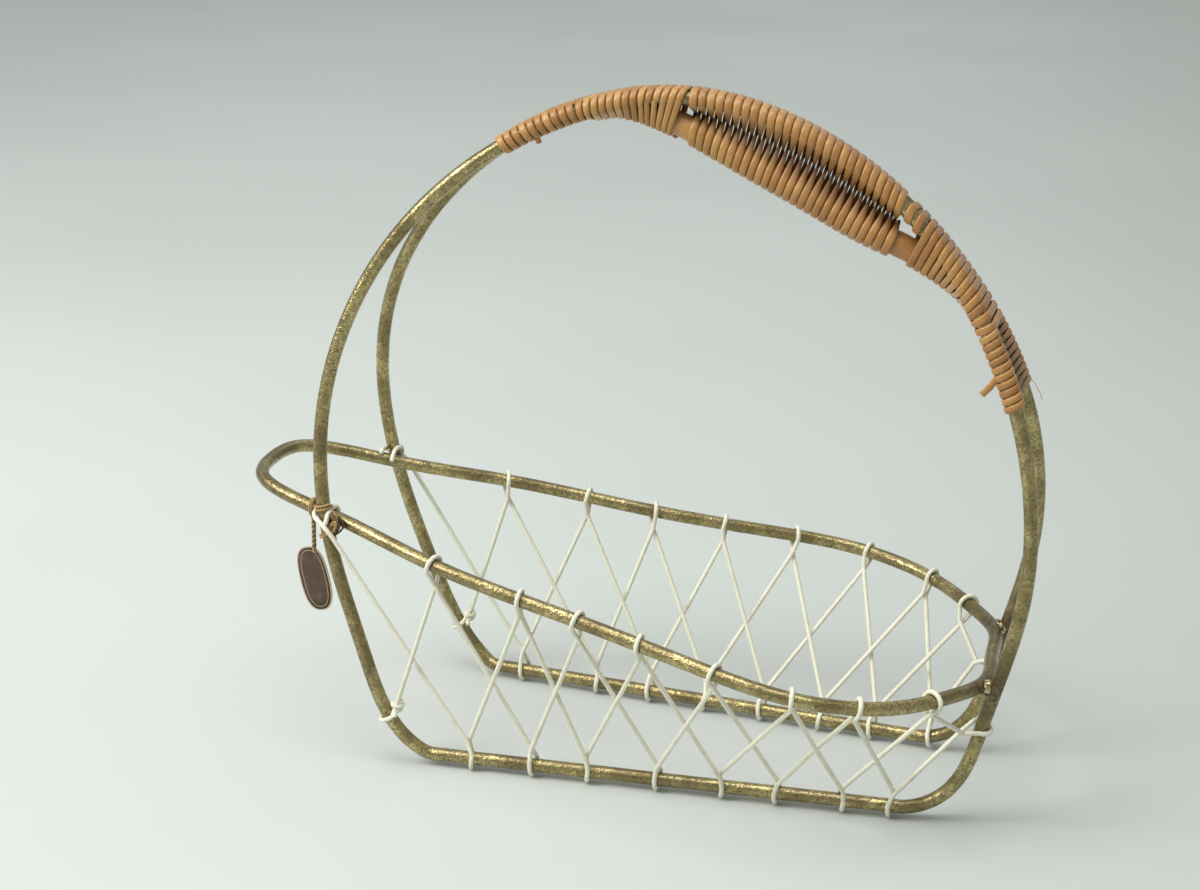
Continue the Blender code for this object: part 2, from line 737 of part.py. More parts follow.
def core_at(share):
    """Centre, radius and way of the core at a share of the grip, or None well past a tip."""
    shares = [station[0] for station in CORE_STATION_SHARES]
    past = share - min(max(share, shares[0]), shares[-1])
    if abs(past) * GRIP_LENGTH > STRAND_WIDTH:
        return None
    place = float(np.interp(share, shares, CORE_PLACES))
    point, way = point_at(CORE, place * lengths_along(CORE)[-1])
    point = point + way * past * GRIP_LENGTH
    return point, float(np.interp(place, CORE_PLACES, CORE_RADII)), way


def make_core():
    """The cane core, a rod scarfed thin at both tips."""
    run = lengths_along(CORE)[-1]
    places = np.linspace(0.0, 1.0, CORE_POINTS)
    points = points_at(CORE, places * run)[0]
    radii = np.interp(places, CORE_PLACES, CORE_RADII)
    wire("grip_core_cane", points, CORE_DIAMETER / 2, CANE, sides=3,
         radii=radii / (CORE_DIAMETER / 2))


# Windings

def arc_points(circle, start, end, count):
    """Corners of a belt that lies on a circle (across, up, radius) between two angles.

    The belt's straight runs touch the circle at both angles and at even steps between them.
    """
    if count == 0:
        return []
    across, up, radius = circle
    step = (end - start) / count
    reach = (radius + STRAND_SEAT_GAP + STRAND_THICKNESS / 2) / math.cos(step / 2)
    angles = start + step * (np.arange(count) + 0.5)
    return [np.array((across + reach * math.cos(angle), up + reach * math.sin(angle)))
            for angle in angles]


def core_turn(found):
    """Angle from the bottom over which a tight belt round the section lies on its core."""
    if found["core"] is None:
        return 0.0
    (spread, _, wire_radius), (_, up, core_radius) = found["wires"][1], found["core"]
    between = math.acos((core_radius - wire_radius) / math.hypot(spread, up))
    return max(math.pi / 2 + math.atan2(-up, spread) - between, 0.0)


def belt(found, count, on_core):
    """Corners of a tight belt round a section, from its bottom over the near side.

    Each half of the belt has on_core of its corners on the core. With none there, the belt
    goes round the wires alone.
    """
    (near, far), quarter = found["wires"], math.pi / 2
    turned = core_turn(found) if on_core else 0.0
    on_wire = count // 2 - on_core
    return (arc_points(found["core"], -quarter, -quarter - turned, on_core)
            + arc_points(near, -quarter - turned, -3 * quarter, on_wire)
            + arc_points(far, -3 * quarter, -5 * quarter + turned, on_wire)
            + arc_points(found["core"], -5 * quarter + turned, -5 * quarter, on_core))


def section(share, core_share):
    """The grip's section at a share of its length, as a dictionary.

    It has the origin between the wires, the upward way, the wires and the core as circles
    (across, up, radius), the ways of grip and core, and how fast the wires part. A section
    that leans gets larger circles. The core is None past its tips.
    """
    middle, spread, way, outside = grip_frame(share)
    wire_way = point_at(ARCH, GRIP_FROM + share * GRIP_LENGTH)[1]
    core = core_at(core_share)
    upward = unit(middle - core[0]) if core else outside
    square = np.cross(ACROSS, upward)
    radius = tube_radius / abs(float(square @ wire_way))
    found = {"origin": middle, "upward": upward, "way": way, "core": None, "core_way": way}
    found["parting"] = float(wire_way[1] / (wire_way @ way))
    found["wires"] = [(side * spread, 0.0, radius) for side in (NEAR, FAR)]
    if core:
        centre, core_radius, core_way = core
        depth = float(np.linalg.norm(middle - centre))
        found["core"] = (0.0, -depth, core_radius / abs(float(square @ core_way)))
        found["core_way"] = core_way
    return found


def placed(found, flat):
    """World place of a section point, and the way there, between the wires' and the core's."""
    spread = found["wires"][1][0]
    aside = min(max(flat[0] / spread, -1.0), 1.0)
    wire_way = found["way"] + ACROSS * found["parting"] * aside
    depth = -found["core"][1] if found["core"] else math.inf
    part = min(max(-flat[1] / depth, 0.0), 1.0)
    point = found["origin"] + ACROSS * flat[0] + found["upward"] * flat[1]
    return point, unit(wire_way * (1 - part) + found["core_way"] * part)


def winding_place(rows, part):
    """Shares on the wires and on the core where a part of a winding's turns is done."""
    parts, wires, cores = zip(*rows)
    return float(np.interp(part, parts, wires)), float(np.interp(part, parts, cores))


def plain_winding(rows, turns, lone_turns=0):
    """Turns of a belt round the wires, and after the lone turns round the core as well."""
    steps = turns * POINTS_A_TURN
    points, ways = [], []
    for step in range(steps + 1):
        middle_of_turn = (step // POINTS_A_TURN + 0.5) / turns
        turned = core_turn(section(*winding_place(rows, middle_of_turn)))
        on_core = min(math.ceil(turned * POINTS_A_TURN / (2 * math.pi)), POINTS_A_TURN // 5)
        found = section(*winding_place(rows, step / steps))
        if step < lone_turns * POINTS_A_TURN - POINTS_A_TURN // 2 or found["core"] is None:
            on_core = 0
        corners = belt(found, POINTS_A_TURN, on_core)
        point, way = placed(found, corners[step % POINTS_A_TURN])
        points.append(point)
        ways.append(way)
    return np.array(points), strand_widths(np.array(points), POINTS_A_TURN), ways


def strand_widths(points, points_a_turn):
    """The strand's width at each point, as shares, that leaves the gap to its other turns."""
    indexes = np.arange(len(points))
    widths = []
    for index, point in enumerate(points):
        others = points[np.abs(indexes - index) > points_a_turn // 3]
        nearest = float(np.linalg.norm(others - point, axis=1).min())
        widths.append(min((nearest - STRAND_SELF_GAP) / STRAND_WIDTH, 1.0))
    return np.array(widths)


def eight_winding(rows, turns, upper, lower):
    """Figure-eight turns round the upper and the lower circles, narrow where they cross.

    upper and lower pick circles out of a section. The axis of the eight runs between them.
    """
    points, ways = [], []
    a_turn = UPPER_POINTS + LOWER_POINTS + 2
    for step in range(turns * a_turn):
        found = section(*winding_place(rows, step / (turns * a_turn)))
        tops, bottoms = upper(found), lower(found)
        middle, axis = crossing(tops, bottoms)
        index = step % a_turn
        loop = rail(tops, middle, axis, UPPER_POINTS) + [middle]
        loop += rail(bottoms, middle, -axis, LOWER_POINTS)[::-1] + [middle]
        point, way = placed(found, loop[index])
        points.append(point)
        ways.append(way)
    return np.array(points), strand_widths(np.array(points), a_turn), ways


def rail(circles, middle, axis, count):
    """Corners of an eight's strand on one rail, which lies from the middle along axis.

    The strand leaves for the middle on straight runs that touch the rail's circles.
    """
    aside = np.array((axis[1], -axis[0]))
    base = math.atan2(aside[1], aside[0])
    across, up, radius = right = max(circles, key=lambda circle: circle[:2] @ aside)
    left = min(circles, key=lambda circle: circle[:2] @ aside)
    run = middle - np.array((across, up))
    reach = radius + STRAND_SEAT_GAP + STRAND_THICKNESS / 2
    to_touch = math.acos(min(reach / float(np.linalg.norm(run)), 1.0))
    first = math.atan2(float(run @ axis), float(run @ aside)) + to_touch
    if left == right:
        return arc_points(right, base + first, base + math.pi - first, count)
    return (arc_points(right, base + first, base + math.pi / 2, count // 2)
            + arc_points(left, base + math.pi / 2, base + math.pi - first, count // 2))


def crossing(tops, bottoms):
    """Middle of the opening between two rails' circles, and the way from lower to upper."""
    top = np.mean([circle[:2] for circle in tops], axis=0)
    bottom = np.mean([circle[:2] for circle in bottoms], axis=0)
    axis = unit(top - bottom)
    low = max(float(np.dot(circle[:2], axis)) + circle[2] for circle in bottoms)
    high = min(float(np.dot(circle[:2], axis)) - circle[2] for circle in tops)
    return bottom + axis * ((low + high) / 2 - float(bottom @ axis)), axis


def tilts_to(points, ways, along):
    """Tilt at each point of a strand that turns its width from along to the way there."""
    tilts = []
    for index, way in enumerate(ways):
        before = points[index] - points[max(index - 1, 0)]
        after = points[min(index + 1, len(points) - 1)] - points[index]
        run = unit(sum(unit(step) for step in (before, after) if np.any(step)))
        start = unit(along - run * (along @ run))
        end = unit(way - run * (way @ run))
        tilts.append(math.atan2(float(run @ np.cross(start, end)), float(start @ end)))
    return tilts


def make_winding(name, points, widths, ways):
    """A flat cane strand along points, drawn in where widths are under one."""
    gap = least_gap(points, widths * STRAND_WIDTH, 3 * STRAND_WIDTH)
    print(f"{name}: least gap of the strand to itself {gap:.5f} m")
    along = unit(points[-1] - points[0])
    wire(name, points, STRAND_THICKNESS / 2, CANE, radii=widths,
         profile=STRAND_PROFILE, along=along, tilts=tilts_to(points, ways, along))


def make_windings():
    """The grip's windings, from the front to the rear."""
    make_winding("winding_front_binding", *eight_winding(
        FRONT_BINDING_SHARES, FRONT_BINDING_TURNS,
        lambda found: found["wires"][:1], lambda found: found["wires"][1:]))
    make_winding("winding_front_wrap", *plain_winding(FRONT_WRAP_SHARES, FRONT_WRAP_TURNS))
    make_winding("winding_figure_eight", *eight_winding(
        FIGURE_EIGHT_SHARES, FIGURE_EIGHT_TURNS,
        lambda found: found["wires"], lambda found: [found["core"]]))
    make_winding("winding_rear_wrap", *plain_winding(
        REAR_WRAP_SHARES, REAR_WRAP_TURNS, REAR_LONE_TURNS))
    make_winding("winding_rear_binding", *eight_winding(
        REAR_BINDING_SHARES, REAR_BINDING_TURNS,
        lambda found: found["wires"][:1], lambda found: found["wires"][1:]))


# Twine tie, string and tag

def make_tie():
    """The twine tie: two turns round the near hoop above the rim and two below it."""
    on_leg, on_rim = on_side(CONTACTS[0], NEAR)
    leg = on_side(leg_near_rim(False), NEAR)
    leg = leg[np.argsort(leg[:, 2])]
    base = float(np.interp(on_leg[2], leg[:, 2], lengths_along(leg)))
    inner = tube_radius + TWINE_SEAT_GAP + twine_radius
    outer = inner + CORD_DIAMETER + TWINE_SEAT_GAP
    turns = [(2 * part, TIE_RISE + TIE_PITCH * 2 * (1 - part), inner) for part in TIE_SHARES]
    turns += [(2.0, TIE_RISE / 2, outer), (2.0, -TIE_DROP / 2, outer)]
    turns += [(2 + 2 * part, -TIE_DROP - TIE_PITCH * 2 * part, inner) for part in TIE_SHARES]
    points = []
    for turn, height, reach in turns:
        centre, way = point_at(leg, base + height)
        along = np.cross(way, unit(on_rim - on_leg))
        along = unit(along * math.copysign(1.0, along[0]))
        angle = 2 * math.pi * turn
        round_leg = along * math.cos(angle) - np.cross(way, along) * math.sin(angle)
        points.append(centre + round_leg * reach)
    wire("tag_tie", points, twine_radius, TWINE, sides=1)


def tag_place():
    """Where the string hangs on the rim: the rim's centre and its level direction there."""
    near_half = RIM[:FINE_POINTS // 2]
    junction = int(np.linalg.norm(near_half - CONTACTS[0][1], axis=1).argmin())
    place = lengths_along(near_half)[junction] - STRING_PLACE
    point, way = point_at(near_half, place)
    point, way = on_side(point, NEAR), on_side(way, NEAR)
    return point, unit(way * np.array((1.0, 1.0, 0.0)))


def make_string_and_tag():
    """The string loop on the rim and the oval tag on the string, each hung from its pivot.

    The loop's two legs twist round each other from the rim to the tag, whose face looks out
    of the near side.
    """
    pivot, level = tag_place()
    outward = unit(np.cross(UP, level))
    sideways = np.array((1.0, 0.0, 0.0))
    facing = -ACROSS
    slope = abs(point_at(RIM, STRING_PLACE)[1][2])
    loop_reach = tube_radius / math.sqrt(1 - slope**2) + TWINE_SEAT_GAP + string_radius
    leg_reach = string_radius + STRING_LEG_GAP / 2
    hole_reach = TAG_THICKNESS / 2 + TAG_HOLE_GAP + string_radius
    loop = []
    for angle in np.linspace(-STRING_LOOP_ANGLE, math.pi + STRING_LOOP_ANGLE, 13):
        loop.append(outward * math.cos(angle) * loop_reach + UP * math.sin(angle) * loop_reach)
    top, bottom = -1.5 * loop_reach, 2 * hole_reach - STRING_LENGTH
    leg = []
    turned = math.atan2(float(facing @ level), float(facing @ outward))
    for part in np.linspace(0.0, 1.0, 13):
        angle = (STRING_HALF_TWISTS * math.pi + turned) * part
        round_leg = outward * math.cos(angle) + level * math.sin(angle)
        leg.append((round_leg * leg_reach, UP * (top + (bottom - top) * part)))
    down = [-out + height for out, height in leg]
    back = [out + height for out, height in leg[::-1]]
    face = unit(leg[-1][0])
    hole = []
    for angle in np.linspace(0.0, math.pi, 6):
        sag = UP * (STRING_LENGTH + math.sin(angle) * TAG_HOLE_GAP / 2)
        hole.append(-face * math.cos(angle) * hole_reach - sag)
    points = [pivot + point for point in loop + down + hole + back]
    string = wire("tag_string", points, string_radius, TWINE, closed=True, sides=1, origin=pivot)
    tag = make_tag(pivot - UP * STRING_LENGTH, sideways, facing)
    bpy.context.view_layer.update()
    tag.parent = string
    tag.matrix_parent_inverse = string.matrix_world.inverted()


def make_tag(hole, sideways, facing):
    """The oval tag, its origin in its hole, under which its middle hangs."""
    turn = Matrix((sideways, UP, facing)).transposed()
    bpy.ops.mesh.primitive_cylinder_add(vertices=40, radius=1.0, depth=TAG_THICKNESS)
    tag = bpy.context.active_object
    tag.name = tag.data.name = "swing_tag"
    for vertex in tag.data.vertices:
        across, along = (math.copysign(abs(share)**TAG_ROUNDNESS_SHARE, share)
                         for share in vertex.co.xy)
        across, along = across * TAG_WIDTH / 2, along * TAG_HEIGHT / 2
        vertex.co.x = across * math.cos(TAG_TILT) - along * math.sin(TAG_TILT)
        vertex.co.y = across * math.sin(TAG_TILT) + along * math.cos(TAG_TILT)
    above = [vertex.co for vertex in tag.data.vertices if vertex.co.y > 0]
    drop = min(above, key=lambda corner: abs(corner.x)).y - TAG_HOLE_INSET
    tag.data.transform(Matrix.Translation((0.0, -drop, 0.0)))
    tag.data.materials.append(CARD)
    for collection in tag.users_collection:
        collection.objects.unlink(tag)
    PARTS.objects.link(tag)
    set_origin_matrix(tag, hole, turn)
    bpy.ops.mesh.primitive_cylinder_add(
        vertices=16, radius=string_radius + TAG_HOLE_GAP, depth=TAG_THICKNESS + 2 * OVERRUN)
    drill = as_cutter(bpy.context.active_object)
    drill.name = "tag_hole"
    set_origin_matrix(drill, hole, turn)
    cut(tag, drill)
    return tag


def make_tails():
    """The loose cane ends at the rear of the grip and under its front."""
    for name, share, length, lean in (("cane_tail_rear", TAIL_SHARE, TAIL_LENGTH, 1.0),
                                      ("cane_stub_front", STUB_SHARE, STUB_LENGTH, 0.0)):
        middle, spread, way, outside = grip_frame(share)
        seat = tube_radius + 2 * STRAND_SEAT_GAP + STRAND_THICKNESS
        start = middle + ACROSS * NEAR * spread - outside * (seat + TAIL_WIDTH / 2 * lean)
        end = start + unit(way * lean - outside) * length
        wire(name, [start, (start + end) / 2, end], STRAND_THICKNESS / 2, CANE,
             profile=TAIL_PROFILE, along=way)


for _item in list(bpy.data.objects):
    bpy.data.objects.remove(_item)

PARTS = new_collection("wine_bottle_basket")
CUTTERS = new_collection("cutters")
BRASS = new_material("aged_brass", (0.46, 0.37, 0.16), 1.0, 0.34)
CANE = new_material("cane", (0.66, 0.41, 0.18), 0.0, 0.45)
CORD = new_material("cream_cord", (0.87, 0.87, 0.76), 0.0, 0.40)
TWINE = new_material("twine", (0.52, 0.35, 0.15), 0.0, 0.80)
CARD = new_material("tag_card", (0.17, 0.12, 0.10), 0.0, 0.60)

STRAND_PROFILE = flat_profile("strand_profile", STRAND_WIDTH, STRAND_THICKNESS)
TAIL_PROFILE = flat_profile("tail_profile", TAIL_WIDTH, STRAND_THICKNESS)

make_hoops()
make_rim()
make_welds()
make_lacing()
make_core()
make_windings()
make_tails()
make_tie()
make_string_and_tag()
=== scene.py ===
"""The looks of a wine bottle basket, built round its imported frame.

Metres, +Z up. The origin is on the floor under the middle of the basket. +X runs from the
nose of the rim to the end that holds the bottle's base. The near side, which carries the
swing tag, is at -Y, and the far side at +Y.
"""

import logging
import math
from dataclasses import dataclass, field
from enum import Enum

import bpy
import numpy as np
from mathutils import Matrix, Vector


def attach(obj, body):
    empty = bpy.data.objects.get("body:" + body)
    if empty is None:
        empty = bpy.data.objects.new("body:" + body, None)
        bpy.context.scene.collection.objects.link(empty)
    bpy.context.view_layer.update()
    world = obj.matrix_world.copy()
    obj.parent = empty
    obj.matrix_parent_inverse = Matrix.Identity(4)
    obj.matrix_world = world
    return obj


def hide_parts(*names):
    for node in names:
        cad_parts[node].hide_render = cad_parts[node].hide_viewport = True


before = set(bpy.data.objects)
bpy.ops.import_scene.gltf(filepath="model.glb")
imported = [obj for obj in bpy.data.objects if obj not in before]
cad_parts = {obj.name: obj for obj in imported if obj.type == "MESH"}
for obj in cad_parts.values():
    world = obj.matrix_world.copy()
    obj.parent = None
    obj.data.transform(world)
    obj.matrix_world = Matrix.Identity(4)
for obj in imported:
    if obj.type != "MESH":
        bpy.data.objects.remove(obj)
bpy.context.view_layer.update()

LOG = logging.getLogger("basket")
Colour = tuple[float, float, float]
Place = tuple[np.ndarray, np.ndarray]

UP = np.array((0.0, 0.0, 1.0))
ACROSS = np.array((0.0, 1.0, 0.0))
LEVEL = np.array((1.0, 1.0, 0.0))
UPRIGHT = np.array((1.0, 0.0, 1.0))


class Named(Enum):
    """An option whose name stands in the names of pieces."""

    @property
    def word(self) -> str:
        """The option's name in small letters."""
        return self.name.lower()


class Side(Named):
    """The two sides of the basket, with the sign of their Y."""

    NEAR = -1.0
    FAR = 1.0

    @property
    def mirror(self) -> np.ndarray:
        """What turns a place on the far side into its match on this side."""
        return np.array((1.0, self.value, 1.0))


class End(Named):
    """The two ends of the basket, with their number in rows of both."""

    FRONT = 0
    REAR = 1


# Lines

def unit(vectors: np.ndarray) -> np.ndarray:
    """Vectors at length one."""
    vectors = np.asarray(vectors, float)
    return vectors / np.linalg.norm(vectors, axis=-1, keepdims=True)


def dots(first: np.ndarray, second: np.ndarray) -> np.ndarray:
    """Dot products of two rows of vectors, kept as a column."""
    return (first * second).sum(axis=-1, keepdims=True)


def outwards(vector: np.ndarray, side: Side) -> np.ndarray:
    """The vector, or its opposite where that one points out of the basket on this side."""
    return vector * math.copysign(1.0, vector[1] * side.value)


class Line:
    """A line through many points, which knows its length and directions."""

    def __init__(self, points: np.ndarray) -> None:
        """Keeps the points and works out the run of length and the slopes.

        Args:
            points: Rows of places in metres.
        """
        self.points = np.asarray(points, float)
        steps = np.linalg.norm(np.diff(self.points, axis=0), axis=1)
        self.run = np.concatenate(([0.0], np.cumsum(steps)))
        self.length = float(self.run[-1])
        self.slopes = np.gradient(self.points, self.run, axis=0)

    def read(self, rows: np.ndarray, places: np.ndarray) -> np.ndarray:
        """Rows that belong to the points, read at distances along the line."""
        return np.column_stack([np.interp(places, self.run, column) for column in rows.T])

    def at(self, places: np.ndarray) -> Place:
        """Points and directions at distances along the line."""
        places = np.atleast_1d(places)
        return self.read(self.points, places), unit(self.read(self.slopes, places))

    def evenly(self, count: int) -> "Line":
        """The same line with count points at even distances."""
        return Line(self.at(np.linspace(0.0, self.length, count))[0])

    def mirrored(self, side: Side) -> "Line":
        """The far side's line as it lies on the given side."""
        return Line(self.points * side.mirror)

    def softened(self, reach: float, spacing: float) -> "Line":
        """The line with its corners rounded, its ends kept.

        Every point becomes the mean of its neighbours within three deviations, weighted by a
        bell.

        Args:
            reach: The bell's standard deviation in metres.
            spacing: Distance between the points worked with.

        Returns:
            The rounded line.
        """
        count = max(int(self.length / spacing), 8)
        points = self.at(np.linspace(0.0, self.length, count))[0]
        half = int(3 * reach / spacing) + 1
        bell = np.exp(-0.5 * (np.arange(-half, half + 1) * spacing / reach)**2)
        bell /= bell.sum()
        before = 2 * points[0] - points[half:0:-1]
        after = 2 * points[-1] - points[-2:-half - 2:-1]
        padded = np.vstack([before, points, after])
        soft = [np.convolve(padded[:, k], bell, mode="valid") for k in range(3)]
        return Line(np.column_stack(soft))

    @staticmethod
    def smooth(stations: list, closed: bool = False, end_way: np.ndarray | None = None,
               count: int = 3000) -> "Line":
        """A cubic curve of steady curvature through stations.

        Each span is a Hermite cubic, and the directions at the stations solve the usual
        three-term system that makes the second derivative run on across each station.

        Args:
            stations: The places it passes through.
            closed: Whether it joins its ends smoothly.
            end_way: The direction in which an open curve leaves both ends.
            count: How many even points come back.

        Returns:
            The curve as a line.
        """
        stations = np.asarray(stations, float)
        if closed:
            stations = np.vstack([stations, stations[:1]])
        total = len(stations)
        spans = np.linalg.norm(np.diff(stations, axis=0), axis=1)
        chords = np.diff(stations, axis=0) / spans[:, None]
        system, right = np.zeros((total, total)), np.zeros((total, 3))
        inner = np.arange(1, total - 1)
        before, after = spans[:-1], spans[1:]
        system[inner, inner - 1] = after
        system[inner, inner] = 2 * (before + after)
        system[inner, inner + 1] = before
        right[inner] = 3 * (after[:, None] * chords[:-1] + before[:, None] * chords[1:])
        if closed:
            last, first = spans[-1], spans[0]
            system[0, [-2, 0, 1]] = (first, 2 * (last + first), last)
            right[0] = 3 * (first * chords[-1] + last * chords[0])
            system[-1, [0, -1]] = (-1.0, 1.0)
        else:
            system[0, 0] = system[-1, -1] = 1.0
            right[0] = right[-1] = end_way
        ways = np.linalg.solve(system, right)
        knots = np.concatenate(([0.0], np.cumsum(spans)))
        places = np.linspace(0.0, knots[-1], count)
        span = np.clip(np.searchsorted(knots, places, side="right") - 1, 0, total - 2)
        width = spans[span][:, None]
        part = ((places - knots[span]) / spans[span])[:, None]
        line = stations[span] * (2 * part**3 - 3 * part**2 + 1)
        line += ways[span] * width * (part**3 - 2 * part**2 + part)
        line += stations[span + 1] * (3 * part**2 - 2 * part**3)
        line += ways[span + 1] * width * (part**3 - part**2)
        return Line(line).evenly(count)


def carried(path: np.ndarray, first: np.ndarray) -> np.ndarray:
    """Vectors square to a path that turn as little as they can along it.

    Each one is the last one reflected twice, once in the plane between two neighbouring
    points and once in the plane between their directions.

    Args:
        path: Rows of points.
        first: A vector that isn't along the path's start.

    Returns:
        One unit vector for each point.
    """
    ways = unit(np.gradient(path, axis=0))
    across = np.empty_like(path)
    across[0] = unit(first - ways[0] * (first @ ways[0]))
    for index in range(len(path) - 1):
        step = path[index + 1] - path[index]
        square = step @ step
        turned = across[index] - step * (2 * (step @ across[index]) / square)
        way = ways[index] - step * (2 * (step @ ways[index]) / square)
        between = ways[index + 1] - way
        if between @ between > 0:
            turned = turned - between * (2 * (between @ turned) / (between @ between))
        across[index + 1] = turned - ways[index + 1] * (turned @ ways[index + 1])
    return unit(across)


def wander(places: np.ndarray, step: float, seed: int) -> np.ndarray:
    """A smooth random value between 0 and 1 along a length.

    Seeded random values stand a step apart and are joined by a raised cosine.

    Args:
        places: Distances in metres.
        step: Distance between the random values.
        seed: Seed of the values.

    Returns:
        One value for each place.
    """
    share = places / step
    whole = np.floor(share).astype(int)
    values = np.random.default_rng(seed).random(int(whole.max()) + 2)
    part = 0.5 - 0.5 * np.cos(math.pi * (share - whole))
    return values[whole] * (1 - part) + values[whole + 1] * part


# Surfaces

@dataclass
class Skin:
    """A surface carried along a path: a grid of points that is closed round the path.

    Attributes:
        grid: Rows along the path by columns round it by three.
        along: Length along the path at each row, which is the V of the UV map.
        tone: One value from 0 to 1 for each row, kept as an attribute.
        closed: Whether the last row joins the first.
        recess: How much each row is darkened, from 0 to 1, kept as an attribute.
    """

    grid: np.ndarray
    along: np.ndarray
    tone: np.ndarray | None = None
    closed: bool = False
    recess: np.ndarray | None = None

    def faces(self, start: int) -> tuple[np.ndarray, np.ndarray, np.ndarray]:
        """Corner numbers, corner counts and UVs of all faces.

        Args:
            start: Number of this skin's first vertex.

        Returns:
            Corners one after another, each face's count of them, and one UV a corner.
        """
        rows, columns = self.grid.shape[:2]
        spans = rows if self.closed else rows - 1
        row, column = np.meshgrid(np.arange(spans), np.arange(columns), indexing="ij")
        after, beside = (row + 1) % rows, (column + 1) % columns
        quads = np.stack([row * columns + column, row * columns + beside,
                          after * columns + beside, after * columns + column], axis=-1)
        lengths = np.append(self.along, 2 * self.along[-1] - self.along[-2])
        u = np.stack([column, column + 1, column + 1, column], axis=-1) / columns
        v = np.stack([lengths[row], lengths[row], lengths[row + 1], lengths[row + 1]], axis=-1)
        corners = quads.reshape(-1, 4)
        uvs = np.stack([u, v], axis=-1).reshape(-1, 2)
        counts = np.full(len(corners), 4)
        corners = corners.reshape(-1)
        if not self.closed:
            around = np.arange(columns)
            beside = (around + 1) % columns
            first = np.stack([np.full(columns, rows * columns), beside, around], axis=-1)
            base = (rows - 1) * columns
            last = np.stack([np.full(columns, rows * columns + 1), base + around, base + beside],
                            axis=-1)
            caps = np.vstack([first, last])
            corners = np.concatenate([corners, caps.reshape(-1)])
            counts = np.concatenate([counts, np.full(len(caps), 3)])
            ends = np.repeat([self.along[0], self.along[-1]], 3 * columns)
            uvs = np.vstack([uvs, np.column_stack([np.full(len(ends), 0.25), ends])])
        return corners + start, counts, uvs

    def vertices(self) -> np.ndarray:
        """The grid's points, and for an open skin the middles of both ends."""
        points = self.grid.reshape(-1, 3)
        if self.closed:
            return points
        return np.vstack([points, self.grid[0].mean(axis=0), self.grid[-1].mean(axis=0)])

    def spread(self, values: np.ndarray | None, otherwise: float) -> np.ndarray:
        """Values of the rows given to each vertex.

        Args:
            values: One value a row, or nothing.
            otherwise: The value where there is nothing.

        Returns:
            One value a vertex.
        """
        rows, columns = self.grid.shape[:2]
        values = np.full(rows, otherwise) if values is None else values
        spread = np.repeat(values, columns)
        return spread if self.closed else np.append(spread, (values[0], values[-1]))


def made_piece(name: str, skins: list[Skin], finish: bpy.types.Material, body: str,
               replaced: tuple[str, ...] = ()) -> bpy.types.Object:
    """One object from skins, dressed, riding on a body and standing for CAD nodes.

    Args:
        name: The piece's name.
        skins: Its surfaces.
        finish: Its material.
        body: The CAD body that it rides on.
        replaced: The CAD nodes that it stands for.

    Returns:
        The new object.
    """
    vertices, corners, counts, uvs, start = [], [], [], [], 0
    for skin in skins:
        points = skin.vertices()
        face_corners, face_counts, face_uvs = skin.faces(start)
        vertices.append(points)
        corners.append(face_corners)
        counts.append(face_counts)
        uvs.append(face_uvs)
        start += len(points)
    places, loops, sizes = np.vstack(vertices), np.concatenate(corners), np.concatenate(counts)
    mesh = bpy.data.meshes.new(name)
    mesh.vertices.add(len(places))
    mesh.vertices.foreach_set("co", places.astype(np.float32).ravel())
    mesh.loops.add(len(loops))
    mesh.loops.foreach_set("vertex_index", loops.astype(np.int32))
    mesh.polygons.add(len(sizes))
    starts = np.concatenate(([0], np.cumsum(sizes)[:-1]))
    mesh.polygons.foreach_set("loop_start", starts.astype(np.int32))
    mesh.polygons.foreach_set("use_smooth", np.ones(len(sizes), bool))
    layer = mesh.uv_layers.new(name="along")
    layer.data.foreach_set("uv", np.vstack(uvs).astype(np.float32).ravel())
    spreads = {"tone": [skin.spread(skin.tone, 0.5) for skin in skins],
               "recess": [skin.spread(skin.recess, 0.0) for skin in skins]}
    for key, values in spreads.items():
        layer = mesh.attributes.new(key, "FLOAT", "POINT")
        layer.data.foreach_set("value", np.concatenate(values).astype(np.float32))
    mesh.update(calc_edges=True)
    mesh.validate()
    mesh.materials.append(finish)
    piece = bpy.data.objects.new(name, mesh)
    bpy.context.scene.collection.objects.link(piece)
    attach(piece, body)
    if replaced:
        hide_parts(*replaced)
    LOG.info("%s: %d vertices, rides on %s", name, len(places), body)
    return piece


def swept(line: Line, across: np.ndarray, profile: np.ndarray, tone: np.ndarray | None = None,
          closed: bool = False, recess: np.ndarray | None = None) -> Skin:
    """A profile carried along a line.

    A point of the surface is the line's point, plus the profile's first number times
    across, plus its second number times the vector square to across and the line.

    Args:
        line: The path, one row of the surface for each of its points.
        across: The direction of the profile's first axis, one for all points or one for each.
        profile: Columns of (first, second) in metres, one set for all rows or one for each.
        tone: One value a row.
        closed: Whether the path is a ring whose last point isn't its first again.
        recess: How much each row is darkened.

    Returns:
        The surface.
    """
    ways = unit(np.gradient(line.points, axis=0))
    if closed:
        ways[[0, -1]] = unit(line.points[[1, 0]] - line.points[[-1, -2]])
    across = unit(across - ways * dots(across, ways))
    second = np.cross(ways, across)
    profile = np.broadcast_to(profile, (len(line.points), *profile.shape[-2:]))
    grid = (line.points[:, None] + profile[..., :1] * across[:, None]
            + profile[..., 1:] * second[:, None])
    return Skin(grid, line.run, tone, closed, recess)


